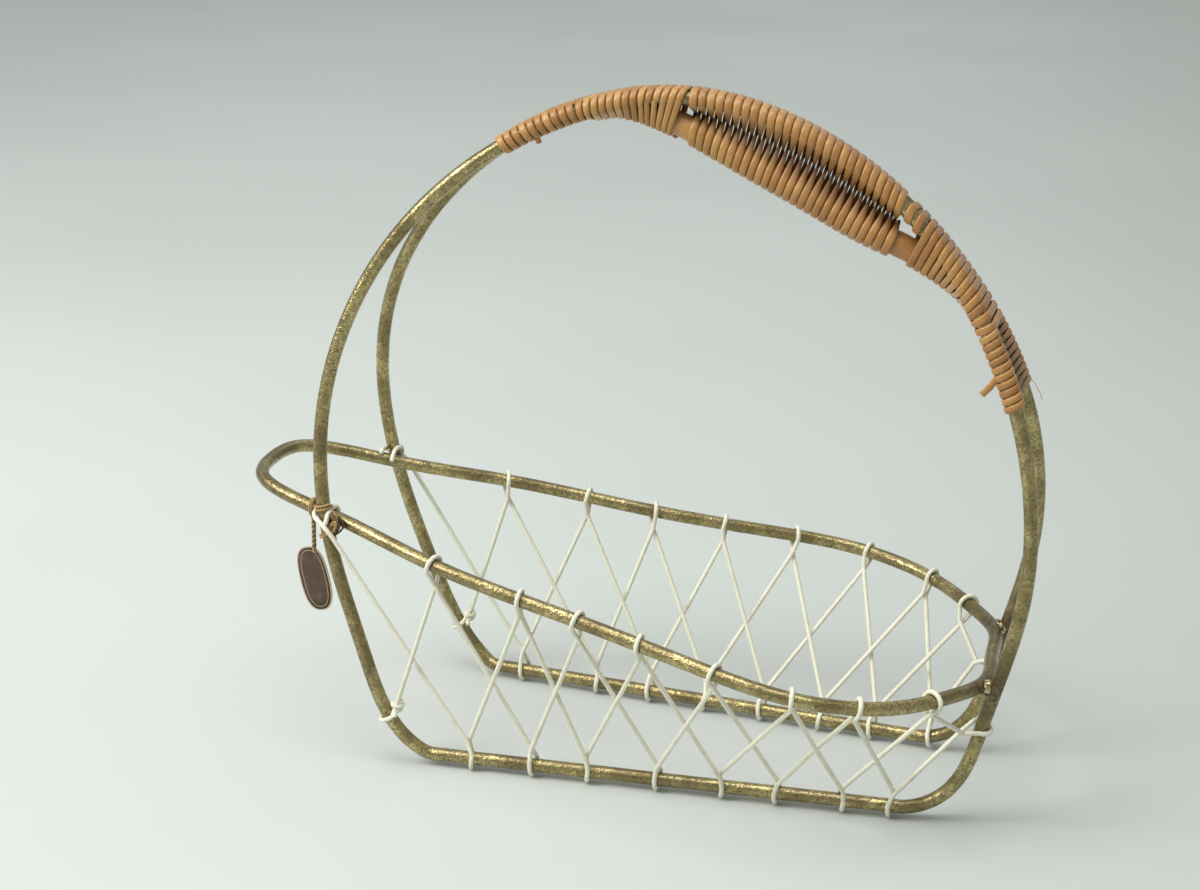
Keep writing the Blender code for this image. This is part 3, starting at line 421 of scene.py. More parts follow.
def round_profile(radii: np.ndarray, sides: int, lobes: int = 0, depth: float = 0.0,
                  twist: np.ndarray | None = None) -> np.ndarray:
    """Circles with lobes that turn along the path, as strands laid round each other.

    The radius at an angle is the row's radius times one less depth times the square of the
    sine of half the lobes' angle, which runs on with the twist.

    Args:
        radii: Radius of each row.
        sides: Points round it.
        lobes: How many strands show.
        depth: Depth of the grooves as a share of the radius.
        twist: Angle of the strands at each row.

    Returns:
        Rows by sides by two.
    """
    angles = np.linspace(0.0, 2 * math.pi, sides, endpoint=False)
    radii = np.asarray(radii, float)[:, None] * np.ones(sides)
    if lobes:
        phase = lobes / 2 * (angles[None] - np.asarray(twist)[:, None])
        radii = radii * (1 - depth * np.sin(phase)**2)
    return np.stack([radii * np.cos(angles), radii * np.sin(angles)], axis=-1)


# Shaders

class Signal:
    """A number that flows through shader nodes, with arithmetic as Python writes it."""

    def __init__(self, book: "Nodebook", socket: bpy.types.NodeSocket) -> None:
        """Keeps the socket and the tree that it belongs to."""
        self.book = book
        self.socket = socket

    def worked(self, operation: str, first: object, second: object) -> "Signal":
        """One Math node of the given operation on two values."""
        node = self.book.node("ShaderNodeMath", {"operation": operation}, {0: first, 1: second})
        return Signal(self.book, node.outputs[0])

    def __add__(self, other: object) -> "Signal":
        """This plus the other."""
        return self.worked("ADD", self, other)

    def __sub__(self, other: object) -> "Signal":
        """This less the other."""
        return self.worked("SUBTRACT", self, other)

    def __rsub__(self, other: object) -> "Signal":
        """The other less this."""
        return self.worked("SUBTRACT", other, self)

    def __mul__(self, other: object) -> "Signal":
        """This times the other."""
        return self.worked("MULTIPLY", self, other)

    __radd__ = __add__
    __rmul__ = __mul__

    def larger(self, other: object) -> "Signal":
        """The larger of this and the other."""
        return self.worked("MAXIMUM", self, other)


class Nodebook:
    """A tree of shader nodes under way."""

    def __init__(self, tree: bpy.types.NodeTree) -> None:
        """Starts with an empty tree."""
        self.tree = tree
        self.tree.nodes.clear()

    def node(self, kind: str, settings: dict[str, object], sockets: dict) -> bpy.types.Node:
        """One node, its settings first and then the values or links of its sockets.

        Args:
            kind: The node's type.
            settings: Its properties, and for a ramp the stops as (place, colour) pairs.
            sockets: Input names or numbers with their values, Signals or sockets.

        Returns:
            The node.
        """
        node = self.tree.nodes.new(kind)
        for key, value in settings.items():
            if key == "stops":
                ramp = node.color_ramp
                while len(ramp.elements) < len(value):
                    ramp.elements.new(0.5)
                for element, (place, colour) in zip(ramp.elements, value):
                    element.position = place
                    element.color = colour
            else:
                setattr(node, key, value)
        for key, value in sockets.items():
            if isinstance(value, Signal):
                value = value.socket
            if isinstance(value, bpy.types.NodeSocket):
                self.tree.links.new(value, node.inputs[key])
            else:
                node.inputs[key].default_value = value
        return node

    def window(self, value: Signal, low: float, high: float) -> Signal:
        """0 below low, 1 above high and smooth between.

        Args:
            value: The number that is looked at.
            low: Where the result leaves 0.
            high: Where the result reaches 1.

        Returns:
            The result.
        """
        settings = {"interpolation_type": "SMOOTHSTEP"}
        sockets = {"Value": value, "From Min": low, "From Max": high}
        return Signal(self, self.node("ShaderNodeMapRange", settings, sockets).outputs[0])


class Finishbook(Nodebook):
    """One material under way: its nodes, its patterns and its shader."""

    def __init__(self, name: str) -> None:
        """Starts a material with nothing but its output."""
        self.material = bpy.data.materials.new(name)
        self.material.use_nodes = True
        super().__init__(self.material.node_tree)
        self.output = self.node("ShaderNodeOutputMaterial", {}, {})

    def places(self) -> bpy.types.NodeSocket:
        """The piece's own places in metres."""
        return self.node("ShaderNodeTexCoord", {}, {}).outputs["Object"]

    def lengthwise(self, scales: tuple[float, float]) -> bpy.types.NodeSocket:
        """Places on the UV map.

        Args:
            scales: Cycles once round the piece, and cycles a metre along it.

        Returns:
            The scaled places.
        """
        source = self.node("ShaderNodeUVMap", {"uv_map": "along"}, {}).outputs[0]
        sockets = {"Vector": source, "Scale": (*scales, 1.0)}
        return self.node("ShaderNodeMapping", {}, sockets).outputs[0]

    def kept(self, attribute: str) -> Signal:
        """One of the values that the mesh keeps: its tone, or how much it is darkened."""
        node = self.node("ShaderNodeAttribute", {"attribute_name": attribute}, {})
        return Signal(self, node.outputs["Fac"])

    def cloud(self, places: bpy.types.NodeSocket, scale: float, detail: float = 3.0,
              roughness: float = 0.55) -> Signal:
        """Noise at a scale in cycles a metre of its places."""
        sockets = {"Vector": places, "Scale": scale, "Detail": detail, "Roughness": roughness}
        return Signal(self, self.node("ShaderNodeTexNoise", {}, sockets).outputs[0])

    def blend(self, factor: object, first: object, second: object) -> bpy.types.NodeSocket:
        """Second colour over the first by a factor."""
        sockets = {0: factor, 6: first, 7: second}
        return self.node("ShaderNodeMix", {"data_type": "RGBA"}, sockets).outputs[2]

    def ramp(self, value: Signal, stops: list[tuple]) -> bpy.types.NodeSocket:
        """A colour for each value, between stops."""
        return self.node("ShaderNodeValToRGB", {"stops": stops}, {0: value}).outputs[0]

    def bump(self, height: Signal, distance: float, strength: float = 1.0) -> bpy.types.NodeSocket:
        """The surface's normal, tipped by a height."""
        sockets = {"Height": height, "Distance": distance, "Strength": strength}
        return self.node("ShaderNodeBump", {}, sockets).outputs[0]

    def shaded(self, **sockets: object) -> bpy.types.Material:
        """The finished material, with one Principled shader.

        Args:
            sockets: Shader inputs, with an underscore for each space of their names.

        Returns:
            The material.
        """
        named = {key.replace("_", " "): value for key, value in sockets.items()}
        shader = self.node("ShaderNodeBsdfPrincipled", {}, named)
        self.tree.links.new(shader.outputs[0], self.output.inputs[0])
        return self.material


def opaque(colour: Colour) -> tuple[float, float, float, float]:
    """A colour with full cover."""
    return (*colour, 1.0)


@dataclass(frozen=True)
class AgedBrass:
    """Bare brass gone dull olive, with dark specks, brown blotches and worn spots."""

    worn: Colour = (0.59, 0.495, 0.225)
    dull: Colour = (0.255, 0.200, 0.084)
    dark: Colour = (0.055, 0.036, 0.016)
    blotch_scale: float = 75.0
    stain_scale: float = 225.0
    grain_scale: float = 700.0
    speck_scale: float = 1050.0
    pit_depth: float = 0.00013
    coat: float = 0.45
    coat_roughness: float = 0.16

    def material(self) -> bpy.types.Material:
        """Dull and worn metal in blotches, with dark specks that are rough and sunk."""
        book = Finishbook("aged_brass")
        places = book.places()
        blotch = book.window(book.cloud(places, self.blotch_scale, 4.0, 0.6), 0.36, 0.62)
        grain = book.window(book.cloud(places, self.grain_scale, 3.0, 0.7), 0.38, 0.62)
        specks = book.window(book.cloud(places, self.speck_scale, 2.0, 0.6), 0.53, 0.64)
        # Here this mask holds only the patina's stains.
        stain_and_shade = book.window(book.cloud(places, self.stain_scale, 5.0, 0.7), 0.54, 0.72)
        colour = book.blend(blotch, opaque(self.worn), opaque(self.dull))
        colour = book.blend(grain * 0.6, colour, opaque(self.dull))
        burnt = book.kept("recess") * (0.70 + grain * 0.30)
        grime = (specks * 0.60).larger(stain_and_shade * 0.42).larger(burnt)
        colour = book.blend(grime, colour, opaque(self.dark))
        rough = 0.22 + blotch * 0.08 + grime * 0.25
        height = grain * 0.5 - specks * 0.6 - stain_and_shade * 0.3
        return book.shaded(Base_Color=colour, Metallic=1.0 - grime * 0.35, Roughness=rough,
                           Coat_Weight=self.coat, Coat_Roughness=self.coat_roughness,
                           Normal=book.bump(height, self.pit_depth, 0.8))


@dataclass(frozen=True)
class Braze:
    """A lump of brighter metal where two tubes are joined."""

    bright: Colour = (0.60, 0.50, 0.28)
    dark: Colour = (0.06, 0.042, 0.02)
    burnt_scale: float = 420.0
    lump_scale: float = 700.0
    lump_depth: float = 0.0002

    def material(self) -> bpy.types.Material:
        """Bright metal with burnt patches."""
        book = Finishbook("brazed_joint")
        places = book.places()
        burnt = book.window(book.cloud(places, self.burnt_scale, 4.0, 0.65), 0.46, 0.62)
        lumps = book.bump(book.cloud(places, self.lump_scale), self.lump_depth, 0.6)
        return book.shaded(Base_Color=book.blend(burnt, opaque(self.bright), opaque(self.dark)),
                           Metallic=1.0 - burnt * 0.4, Roughness=0.25 + burnt * 0.35,
                           Normal=lumps)


@dataclass(frozen=True)
class SplitCane:
    """Split cane: a glossy rind in honey tones with fine fibres along it."""

    pale: Colour = (0.63, 0.365, 0.116)
    middle: Colour = (0.46, 0.222, 0.058)
    deep: Colour = (0.28, 0.112, 0.024)
    # The colour of the painted shade where strands cross.
    painted_crossing_shade: Colour = (0.070, 0.025, 0.007)
    fibre_scales: tuple[float, float] = (26.0, 70.0)
    fine_scales: tuple[float, float] = (80.0, 300.0)
    mottle_scale: float = 240.0
    fibre_depth: float = 0.00012
    coat: float = 0.35
    coat_roughness: float = 0.24

    def material(self) -> bpy.types.Material:
        """Tones that change along the strand, fibres, and painted shade where strands cross."""
        book = Finishbook("split_cane")
        fibre = book.cloud(book.lengthwise(self.fibre_scales), 1.0, 5.0, 0.6)
        fine = book.cloud(book.lengthwise(self.fine_scales), 1.0, 3.0, 0.6)
        mottle = book.cloud(book.places(), self.mottle_scale, 4.0, 0.6)
        shade = book.kept("tone") * 0.40 + fibre * 0.36 + mottle * 0.30 + 0.04
        stops = [(0.30, opaque(self.pale)), (0.56, opaque(self.middle)), (0.86, opaque(self.deep))]
        colour = book.ramp(shade, stops)
        colour = book.blend(book.window(fine, 0.56, 0.70) * 0.35, colour, opaque(self.deep))
        # Painted shade where the strands cross, from the mesh's recess, deepened by the mottle.
        stain_and_shade = book.kept("recess") * (0.80 + mottle * 0.4)
        colour = book.blend(stain_and_shade, colour, opaque(self.painted_crossing_shade))
        return book.shaded(Base_Color=colour, Roughness=0.33 + fine * 0.20,
                           Coat_Weight=self.coat, Coat_Roughness=self.coat_roughness,
                           Normal=book.bump(fibre * 0.6 + fine * 0.4, self.fibre_depth, 0.55))


@dataclass(frozen=True)
class WaxedCord:
    """Waxed cord or twine, slightly shiny, with the faint lay of its strands."""

    name: str
    light: Colour
    # The colour of soil, and of painted shade where the recess is set.
    soiled_and_shaded: Colour
    strength: float
    soil_scale: float = 130.0
    fibre_scales: tuple[float, float] = (9.0, 900.0)
    fibre_depth: float = 0.00006
    sheen: float = 0.15

    def material(self) -> bpy.types.Material:
        """Pale cord with soiled stretches, fine fibres and painted shade from the mesh's recess."""
        book = Finishbook(self.name)
        soil = book.window(book.cloud(book.places(), self.soil_scale, 4.0, 0.6), 0.50, 0.74)
        fibre = book.cloud(book.lengthwise(self.fibre_scales), 1.0, 3.0, 0.6)
        # Soil and fibres are the cord's own; the recess adds painted shade, deepest in the twine's
        # tangle.
        dirt_and_shade = soil * 0.45 + fibre * 0.12 + book.kept("recess") * 0.8
        return book.shaded(Base_Color=book.blend(dirt_and_shade, opaque(self.light), opaque(self.soiled_and_shaded)),
                           Roughness=0.50 + fibre * 0.15, Sheen_Weight=self.sheen,
                           Normal=book.bump(fibre, self.fibre_depth, self.strength))


@dataclass(frozen=True)
class TagCard:
    """Printed card: a dark face or a pale border, matt and slightly rubbed."""

    name: str
    base: Colour
    rubbed: Colour
    patch_scale: float = 210.0
    paper_scale: float = 2600.0
    paper_depth: float = 0.00004

    def material(self) -> bpy.types.Material:
        """One printed tone with rubbed patches and paper fibres."""
        book = Finishbook(self.name)
        patch = book.window(book.cloud(book.places(), self.patch_scale, 4.0, 0.6), 0.45, 0.72)
        fibre = book.cloud(book.places(), self.paper_scale, 3.0, 0.7)
        colour = book.blend(patch * 0.6 + fibre * 0.2, opaque(self.base), opaque(self.rubbed))
        return book.shaded(Base_Color=colour, Roughness=0.58 + fibre * 0.15,
                           Normal=book.bump(fibre, self.paper_depth, 0.5))


# The wire frame

@dataclass
class WireFrame:
    """Two hoops and the rim: bent tubes of one thickness.

    The runners lie on the lowest turns of the laced cords, and these stand on the floor.

    Attributes:
        packed_cord, packed_gap: The CAD cord's thickness, and its gap to the tubes.
        loop_opening, loop_steps: How the CAD cord's loop is cut: its opening and its steps.
        floor_share: Height of the CAD cord's lowest centre, as a share of the cord.
        front_heel, rear_heel: Where the arch joins the runner, in shares of the hoop's length,
            spread and height.
        arch_stations: Where the arch passes, from rear to front, in the same shares.
        rim_nose, rim_side: Where half the rim passes before and behind its front seat, in
            shares of its length and of its half width.
        rim_bulge: How far the rim's rear end stands behind its rear seats.
        waves: Rows of waves along a tube, waves round it, and their share of its radius.
        burn_most, burn_reach: How burnt a tube is at the front and the rear joint, and how
            far that reaches.
        contacts: For each end, the nearest points of the far leg and of the rim.
    """

    tube: float = 0.0048
    hoop_length: float = 0.2425
    hoop_height: float = 0.2326
    hoop_half_spread: float = 0.0395
    grip_wire_gap: float = 0.0003
    nose_reach: float = 0.0318
    rim_half_width: float = 0.0683
    rim_front_height: float = 0.0945
    rim_rear_height: float = 0.0523
    rim_sag: float = 0.0037
    rim_bulge: float = 0.00096
    weld_gap: float = 0.0003
    bead_radius: float = 0.0031
    packed_cord: float = 0.0015
    packed_gap: float = 0.0003
    loop_opening: float = math.radians(50)
    loop_steps: int = 8
    floor_share: float = 0.4
    rear_heel: tuple = (0.854, 0.675, 0.0)
    front_heel: tuple = (0.179, 0.970, 0.0)
    arch_stations: tuple = (
        (0.907, 0.629, 0.020), (0.960, 0.635, 0.150), (0.998, 0.640, 0.351),
        (0.979, 0.459, 0.552), (0.901, 0.180, 0.731), (0.794, 0.015, 0.864),
        (0.649, 0.000, 0.960), (0.473, 0.000, 0.999), (0.333, 0.066, 0.969),
        (0.227, 0.218, 0.912), (0.064, 0.451, 0.733), (0.001, 0.732, 0.523),
        (0.014, 0.900, 0.350), (0.073, 0.995, 0.159), (0.159, 0.997, 0.009),
    )
    rim_nose: tuple = ((0.0, 0.0), (0.011, 0.237))
    rim_side: tuple = ((0.303, 0.659), (0.495, 0.792), (0.660, 0.934), (0.793, 1.000),
                       (0.901, 0.835), (0.966, 0.559))
    runner_points: int = 600
    seating_rounds: int = 6
    leg_stride: int = 4
    tube_sides: int = 28
    hoop_rows: int = 1200
    rim_rows: int = 1000
    hoop_seed: int = 11
    rim_seed: int = 23
    bead_seed: int = 40
    waves: tuple = ((9, 0, 0.006), (31, 1, 0.006), (67, 2, 0.005), (140, 1, 0.004),
                    (233, 3, 0.003))
    burn_most: tuple = (0.45, 0.95)
    burn_reach: tuple = (0.007, 0.013)
    runner_height: float = field(init=False)
    rear_x: float = field(init=False)
    tip_x: float = field(init=False)
    grip_spread: float = field(init=False)
    runner: Line = field(init=False)
    arch: Line = field(init=False)
    rim: Line = field(init=False)
    half: Line = field(init=False)
    contacts: list[Place] = field(init=False)

    def __post_init__(self) -> None:
        """Works out the centre lines of the far hoop and of the rim."""
        radius = self.tube / 2
        seat = radius + self.packed_gap + self.packed_cord / 2
        corner = math.cos((math.pi - self.loop_opening) / self.loop_steps)
        self.runner_height = seat / corner + self.packed_cord * self.floor_share
        total = self.nose_reach + self.hoop_length + self.tube
        self.rear_x = total / 2 - radius
        self.tip_x = -total / 2 + radius
        self.grip_spread = radius + self.grip_wire_gap / 2
        front, rear = self.hoop_station(self.front_heel), self.hoop_station(self.rear_heel)
        stations = [rear] + [self.hoop_station(share) for share in self.arch_stations] + [front]
        self.arch = Line(Line.smooth(stations, end_way=unit(rear - front)).points[::-1])
        self.runner = Line(np.array((front, rear))).evenly(self.runner_points)
        self.rim, self.contacts = self.seated_rim()
        self.half = Line(self.rim.points[:len(self.rim.points) // 2])

    def hoop_station(self, shares: tuple[float, float, float]) -> np.ndarray:
        """World place of one of the far hoop's stations.

        Args:
            shares: The station's shares of the hoop's length, spread and height.

        Returns:
            The place.
        """
        along, spread, height = shares
        return np.array((
            self.rear_x - self.hoop_length * (1 - along),
            self.grip_spread + (self.hoop_half_spread - self.grip_spread) * spread,
            self.runner_height + self.hoop_height * height,
        ))

    def rim_level(self, along: float) -> float:
        """Height of the rim at a share of its length: a straight fall less a sag."""
        level = self.rim_front_height + (self.rim_rear_height - self.rim_front_height) * along
        return level - 4 * self.rim_sag * along * (1 - along)

    def whole_rim(self, front: np.ndarray, rear: np.ndarray) -> Line:
        """The closed rim through its two seats on the far hoop and their mirror images.

        Args:
            front: The seat at the front leg.
            rear: The seat at the rear leg.

        Returns:
            The rim's centre line.
        """
        length = rear[0] - self.tip_x
        nose, side = ([(self.tip_x + length * a, self.rim_half_width * o) for a, o in shares]
                      for shares in (self.rim_nose, self.rim_side))
        flat = [*nose, front[:2], *side, rear[:2], (rear[0] + self.rim_bulge, 0.0)]
        half = [np.array((x, y, self.rim_level((x - self.tip_x) / length))) for x, y in flat]
        back = [point * Side.NEAR.mirror for point in half[-2:0:-1]]
        return Line.smooth(half + back, closed=True)

    def leg(self, end: End) -> np.ndarray:
        """Points of the far hoop's leg at one end, up to twice the rim's height."""
        low = self.arch.points[self.arch.points[:, 2] < 2 * self.rim_front_height]
        low = low[low[:, 2] > self.runner_height]
        return low[(low[:, 0] > 0) == (end is End.REAR)]

    def seated_rim(self) -> tuple[Line, list[Place]]:
        """The rim that lies just inside both hoops, and where they come nearest.

        The rim is drawn through a seat beside each leg. Then each seat is pushed by as much
        as the gap there lacks, and the rim drawn again, a few times over.

        Returns:
            The rim, and for each end the nearest points of leg and rim.
        """
        touch = self.tube + self.weld_gap
        legs = [self.leg(end) for end in End]
        heights = (self.rim_front_height, self.rim_rear_height)
        inward = ((0.0, -1.0, 0.0), (-1.0, -1.0, 0.0))
        seats = [leg[np.abs(leg[:, 2] - height).argmin()] + unit(way) * touch
                 for leg, height, way in zip(legs, heights, inward)]
        for _ in range(self.seating_rounds):
            rim = self.whole_rim(*seats)
            half = rim.points[:len(rim.points) // 2]
            contacts = []
            for end in End:
                leg = legs[end.value][::self.leg_stride]
                stretch = half[(half[:, 0] > 0) == (end is End.REAR)]
                reach = np.linalg.norm(leg[:, None] - stretch[None], axis=2)
                on_leg, on_rim = np.unravel_index(reach.argmin(), reach.shape)
                contacts.append((leg[on_leg], stretch[on_rim]))
                away = stretch[on_rim] - leg[on_leg]
                push = unit(away) * (touch - np.linalg.norm(away))
                seats[end.value] = seats[end.value] + push * LEVEL
        return rim, contacts

    def hoop_place(self, share: float, side: Side) -> Place:
        """A place on a hoop's runner or on one of its legs.

        Args:
            share: Share of the runner, below 0 on up the front leg and above 1 up the rear.
            side: Which hoop.

        Returns:
            Centre and direction.
        """
        length = self.runner.length
        if share < 0:
            points, ways = self.arch.at(-share * length)
        elif share > 1:
            points, ways = self.arch.at(self.arch.length - (share - 1) * length)
        else:
            points, ways = self.runner.at(share * length)
        return points[0] * side.mirror, ways[0] * side.mirror

    def rim_place(self, share: float, side: Side) -> Place:
        """A place on the rim.

        Args:
            share: Share of its length, from the tip to the rear.
            side: Which half.

        Returns:
            Centre and direction.
        """
        points = self.half.points
        wanted = points[0, 0] + share * (points[-1, 0] - points[0, 0])
        place = self.half.run[int(np.abs(points[:, 0] - wanted).argmin())]
        point, way = self.half.at(place)
        return point[0] * side.mirror, way[0] * side.mirror

    def tube_skin(self, line: Line, across: np.ndarray, seed: int) -> Skin:
        """A hand-worked tube: a circle whose radius strays a little.

        The radius is the tube's own, times one plus a few long and short waves that run
        along the tube and round it, with seeded phases.

        Args:
            line: Ring of centres, the last not the first again.
            across: The profile's first direction.
            seed: Seed of the waves.

        Returns:
            The tube's surface.
        """
        generator = np.random.default_rng(seed)
        angles = np.linspace(0.0, 2 * math.pi, self.tube_sides, endpoint=False)[None]
        share = (2 * math.pi * np.arange(len(line.points)) / len(line.points))[:, None]
        radii = np.ones((len(line.points), self.tube_sides))
        for count, turns, size in self.waves:
            phases = generator.random(2) * 2 * math.pi
            wave = np.sin(share * count + phases[0]) * np.cos(angles * turns + phases[1])
            radii = radii + size * wave
        radii *= self.tube / 2
        profile = np.stack([radii * np.cos(angles), radii * np.sin(angles)], axis=-1)
        return swept(line, across, profile, closed=True)

    def burnt(self, line: Line, side: Side) -> np.ndarray:
        """How burnt a tube is by its brazed joints: a bell over the distance to them.

        Args:
            line: The tube's centres.
            side: The side whose joints count.

        Returns:
            One value from 0 to 1 for each centre.
        """
        burnt = np.zeros(len(line.points))
        for (on_leg, on_rim), most, reach in zip(self.contacts, self.burn_most, self.burn_reach):
            joint = (on_leg + on_rim) / 2 * side.mirror
            away = np.linalg.norm(line.points - joint, axis=1)
            burnt = np.maximum(burnt, most * np.exp(-(away / reach)**2))
        return burnt

    def build_hoops(self, brass: bpy.types.Material) -> None:
        """Both hoops, each a ring of runner and arch.

        Args:
            brass: Their finish.
        """
        ring = np.vstack([self.runner.points[:-1], self.arch.points[:0:-1]])
        ring = np.vstack([ring, ring[:1]])
        for number, side in enumerate(Side):
            loop = Line(ring).mirrored(side).evenly(self.hoop_rows + 1)
            line = Line(loop.points[:-1])
            skin = self.tube_skin(line, ACROSS, self.hoop_seed + number)
            skin.recess = self.burnt(line, side)
            made_piece(f"hoop_tube_{side.word}", [skin], brass, "basket",
                       (f"side_hoop_{side.word}",))

    def build_rim(self, brass: bpy.types.Material) -> None:
        """The rim, a closed ring.

        Args:
            brass: Its finish.
        """
        line = Line(self.rim.evenly(self.rim_rows + 1).points[:-1])
        skin = self.tube_skin(line, UP, self.rim_seed)
        skin.recess = np.maximum(self.burnt(line, Side.NEAR), self.burnt(line, Side.FAR))
        made_piece("rim_tube", [skin], brass, "basket", ("basket_rim",))

    def bead(self, seed: int) -> np.ndarray:
        """A brazed lump about its middle.

        It is a ball in angles of height and turn, whose radius is the bead's own, times a
        little less than one plus three waves in both angles with seeded phases.

        Args:
            seed: Seed of the phases.

        Returns:
            A grid of points, rows of height by turn by three.
        """
        height = np.linspace(-math.pi / 2, math.pi / 2, 24)[1:-1, None]
        turn = np.linspace(0.0, 2 * math.pi, 32, endpoint=False)[None]
        phases = np.random.default_rng(seed).random(6) * 2 * math.pi
        radii = self.bead_radius * (
            0.93 + 0.035 * np.sin(3 * turn + phases[0]) * np.cos(2 * height + phases[1])
            + 0.03 * np.sin(5 * turn + phases[2]) * np.sin(4 * height + phases[3])
            + 0.02 * np.cos(9 * turn + phases[4]) * np.cos(7 * height + phases[5]))
        return np.stack([radii * np.cos(height) * np.cos(turn),
                         radii * np.cos(height) * np.sin(turn),
                         radii * np.sin(height)], axis=-1)

    def build_beads(self, braze: bpy.types.Material) -> None:
        """The four brazed lumps between rim and hoops.

        Args:
            braze: Their finish.
        """
        for number, side in enumerate(Side):
            for end, (on_leg, on_rim) in zip(End, self.contacts):
                ball = self.bead(self.bead_seed + 2 * number + end.value)
                grid = ball + (on_leg + on_rim) / 2 * side.mirror
                skin = Skin(grid, grid[:, 0, 2] - grid[0, 0, 2])
                made_piece(f"braze_{end.word}_{side.word}", [skin], braze, "basket",
                           (f"weld_bead_{end.word}_{side.word}",))


# The laced sides

@dataclass
class Lacing:
    """One cord on each side, hitched to rim and hoop by turns, there and back.

    Attributes:
        opening, lean: A hitch's opening towards the net, and how far it leans along the tube.
        neck_reach, neck_slide: How far a hitch's neck lies from the tube's centre, and how far
            it may slide along the tube.
        softness, spacing: How far corners are rounded, and the distance between its rows.
        floor_share: Lowest height of the cord's centre, as a share of the cord.
        lay, strands, groove: Length of the strands' twist, their count and their depth.
        knot_back, knot_lead, knot_reach: Where the end knot's coil lies along the cord, and
            how wide it is, the last two as shares.
        rim_shares, hoop_shares: The hitches' places, in shares of the rim and of the runner.
        end_share, rear_share: Places of the last hitch and of the turning, up the legs.
        lashing_seats, arm_seats: Points of the cord round the front joint, and of the short
            cord beside it, in rows of shares of the cord's seat: along the rim, outward and
            up, and 1 where they are measured from the rim and not from the hoop.
    """

    wires: WireFrame
    cord: float = 0.0017
    seat_gap: float = 0.00004
    self_gap: float = 0.0001
    lashing_gap: float = 0.0002
    neck_reach: float = 0.0066
    neck_slide: float = 0.0050
    tail: float = 0.0006
    opening: float = math.radians(50)
    lean: float = 0.0008
    loop_points: int = 14
    softness: float = 0.0005
    spacing: float = 0.00032
    floor_share: float = 0.48
    lay: float = 0.0052
    strands: int = 3
    groove: float = 0.10
    sides: int = 12
    knot_back: float = 0.0026
    knot_turns: float = 1.5
    knot_lead: float = 0.35
    knot_reach: float = 1.02
    knot_points: int = 40
    cut_length: float = 0.0024
    cut_leans: tuple = (0.9, -0.5)
    cut_fall: float = 0.5
    cut_points: int = 8
    rim_shares: dict = field(default_factory=lambda: {
        Side.NEAR: (0.292, 0.415, 0.495, 0.579, 0.679, 0.777, 0.856, 0.940),
        Side.FAR: (0.290, 0.405, 0.500, 0.600, 0.700, 0.806, 0.900, 0.958)})
    hoop_shares: dict = field(default_factory=lambda: {
        Side.NEAR: (0.085, 0.221, 0.339, 0.492, 0.627, 0.746, 0.882, 0.983),
        Side.FAR: (0.068, 0.250, 0.380, 0.510, 0.645, 0.780, 0.900, 1.030)})
    end_share: float = -0.135
    rear_share: float = 1.28
    lashing_seats: tuple = (
        (-1.56, -0.60, 0.86, 1), (-1.54, -0.05, 1.05, 1), (-1.48, 0.60, 0.92, 1),
        (-1.26, 0.45, 0.52, 0), (-0.94, 0.82, 0.30, 0), (-0.35, 1.06, 0.16, 0),
        (0.20, 1.10, 0.00, 0), (0.66, 1.14, -0.20, 0), (1.10, 1.14, -0.46, 0),
        (1.50, 1.02, -0.76, 0),
    )
    arm_seats: tuple = (
        (0.44, 1.00, -0.12, 0), (0.56, 0.95, 0.05, 0), (0.56, 0.85, 0.32, 0),
        (0.50, 0.76, 0.62, 0), (0.36, 0.46, 1.00, 0), (0.27, 0.03, 1.20, 0),
        (0.10, -0.45, 1.26, 0), (-0.10, -0.85, 1.17, 0), (-0.22, 0.28, 1.04, 1),
        (-0.25, -0.40, 0.94, 1), (-0.25, -0.98, 0.32, 1),
    )

    def hitch(self, place: Place, to_net: np.ndarray, outward: np.ndarray,
              slide: float) -> list[np.ndarray]:
        """Points of one half hitch round a tube, from its incoming to its outgoing neck.

        The loop is a circle of the tube's and the cord's radius about the tube, open
        towards the net, that leans along the tube from one side to the other.

        Args:
            place: The tube's centre, and its direction the way the lacing runs.
            to_net: From the tube to its strands, square to the tube.
            outward: Out of the basket, square to the tube.
            slide: The neck's place along the tube.

        Returns:
            The points in order.
        """
        centre, way = place
        half_pass = (self.cord + self.self_gap) / 2
        angles = np.linspace(self.opening, 2 * math.pi - self.opening, 2 * self.loop_points)
        leans = np.linspace(self.lean, -self.lean, len(angles))
        reach = self.wires.tube / 2 + self.seat_gap + self.cord / 2
        loop = (centre + reach * (np.cos(angles)[:, None] * to_net
                                  + np.sin(angles)[:, None] * outward) + leans[:, None] * way)
        neck = centre + to_net * self.neck_reach + way * slide
        return [neck + outward * half_pass, *loop, neck - outward * half_pass]

    def lashing(self, side: Side, seats: tuple) -> list[np.ndarray]:
        """Points of a cord that ties hoop and rim at their front crossing.

        Args:
            side: Which side.
            seats: Rows of shares of the cord's seat, as the class gives them.

        Returns:
            The points in order.
        """
        seat = (self.wires.tube + self.cord) / 2 + self.lashing_gap
        on_leg, on_rim = self.wires.contacts[End.FRONT.value]
        outward = unit(on_leg - on_rim)
        half = self.wires.half.points
        nearest = int(np.linalg.norm(half - on_rim, axis=1).argmin())
        along = unit(half[nearest + 1] - half[nearest - 1])
        upward = np.cross(outward, along)
        upward = upward * math.copysign(1.0, upward[2])
        rim_out = np.linalg.norm(on_leg - on_rim) / seat
        return [(on_leg + seat * (along * a + outward * (o - rim_out * behind) + upward * u))
                * side.mirror for a, o, u, behind in seats]

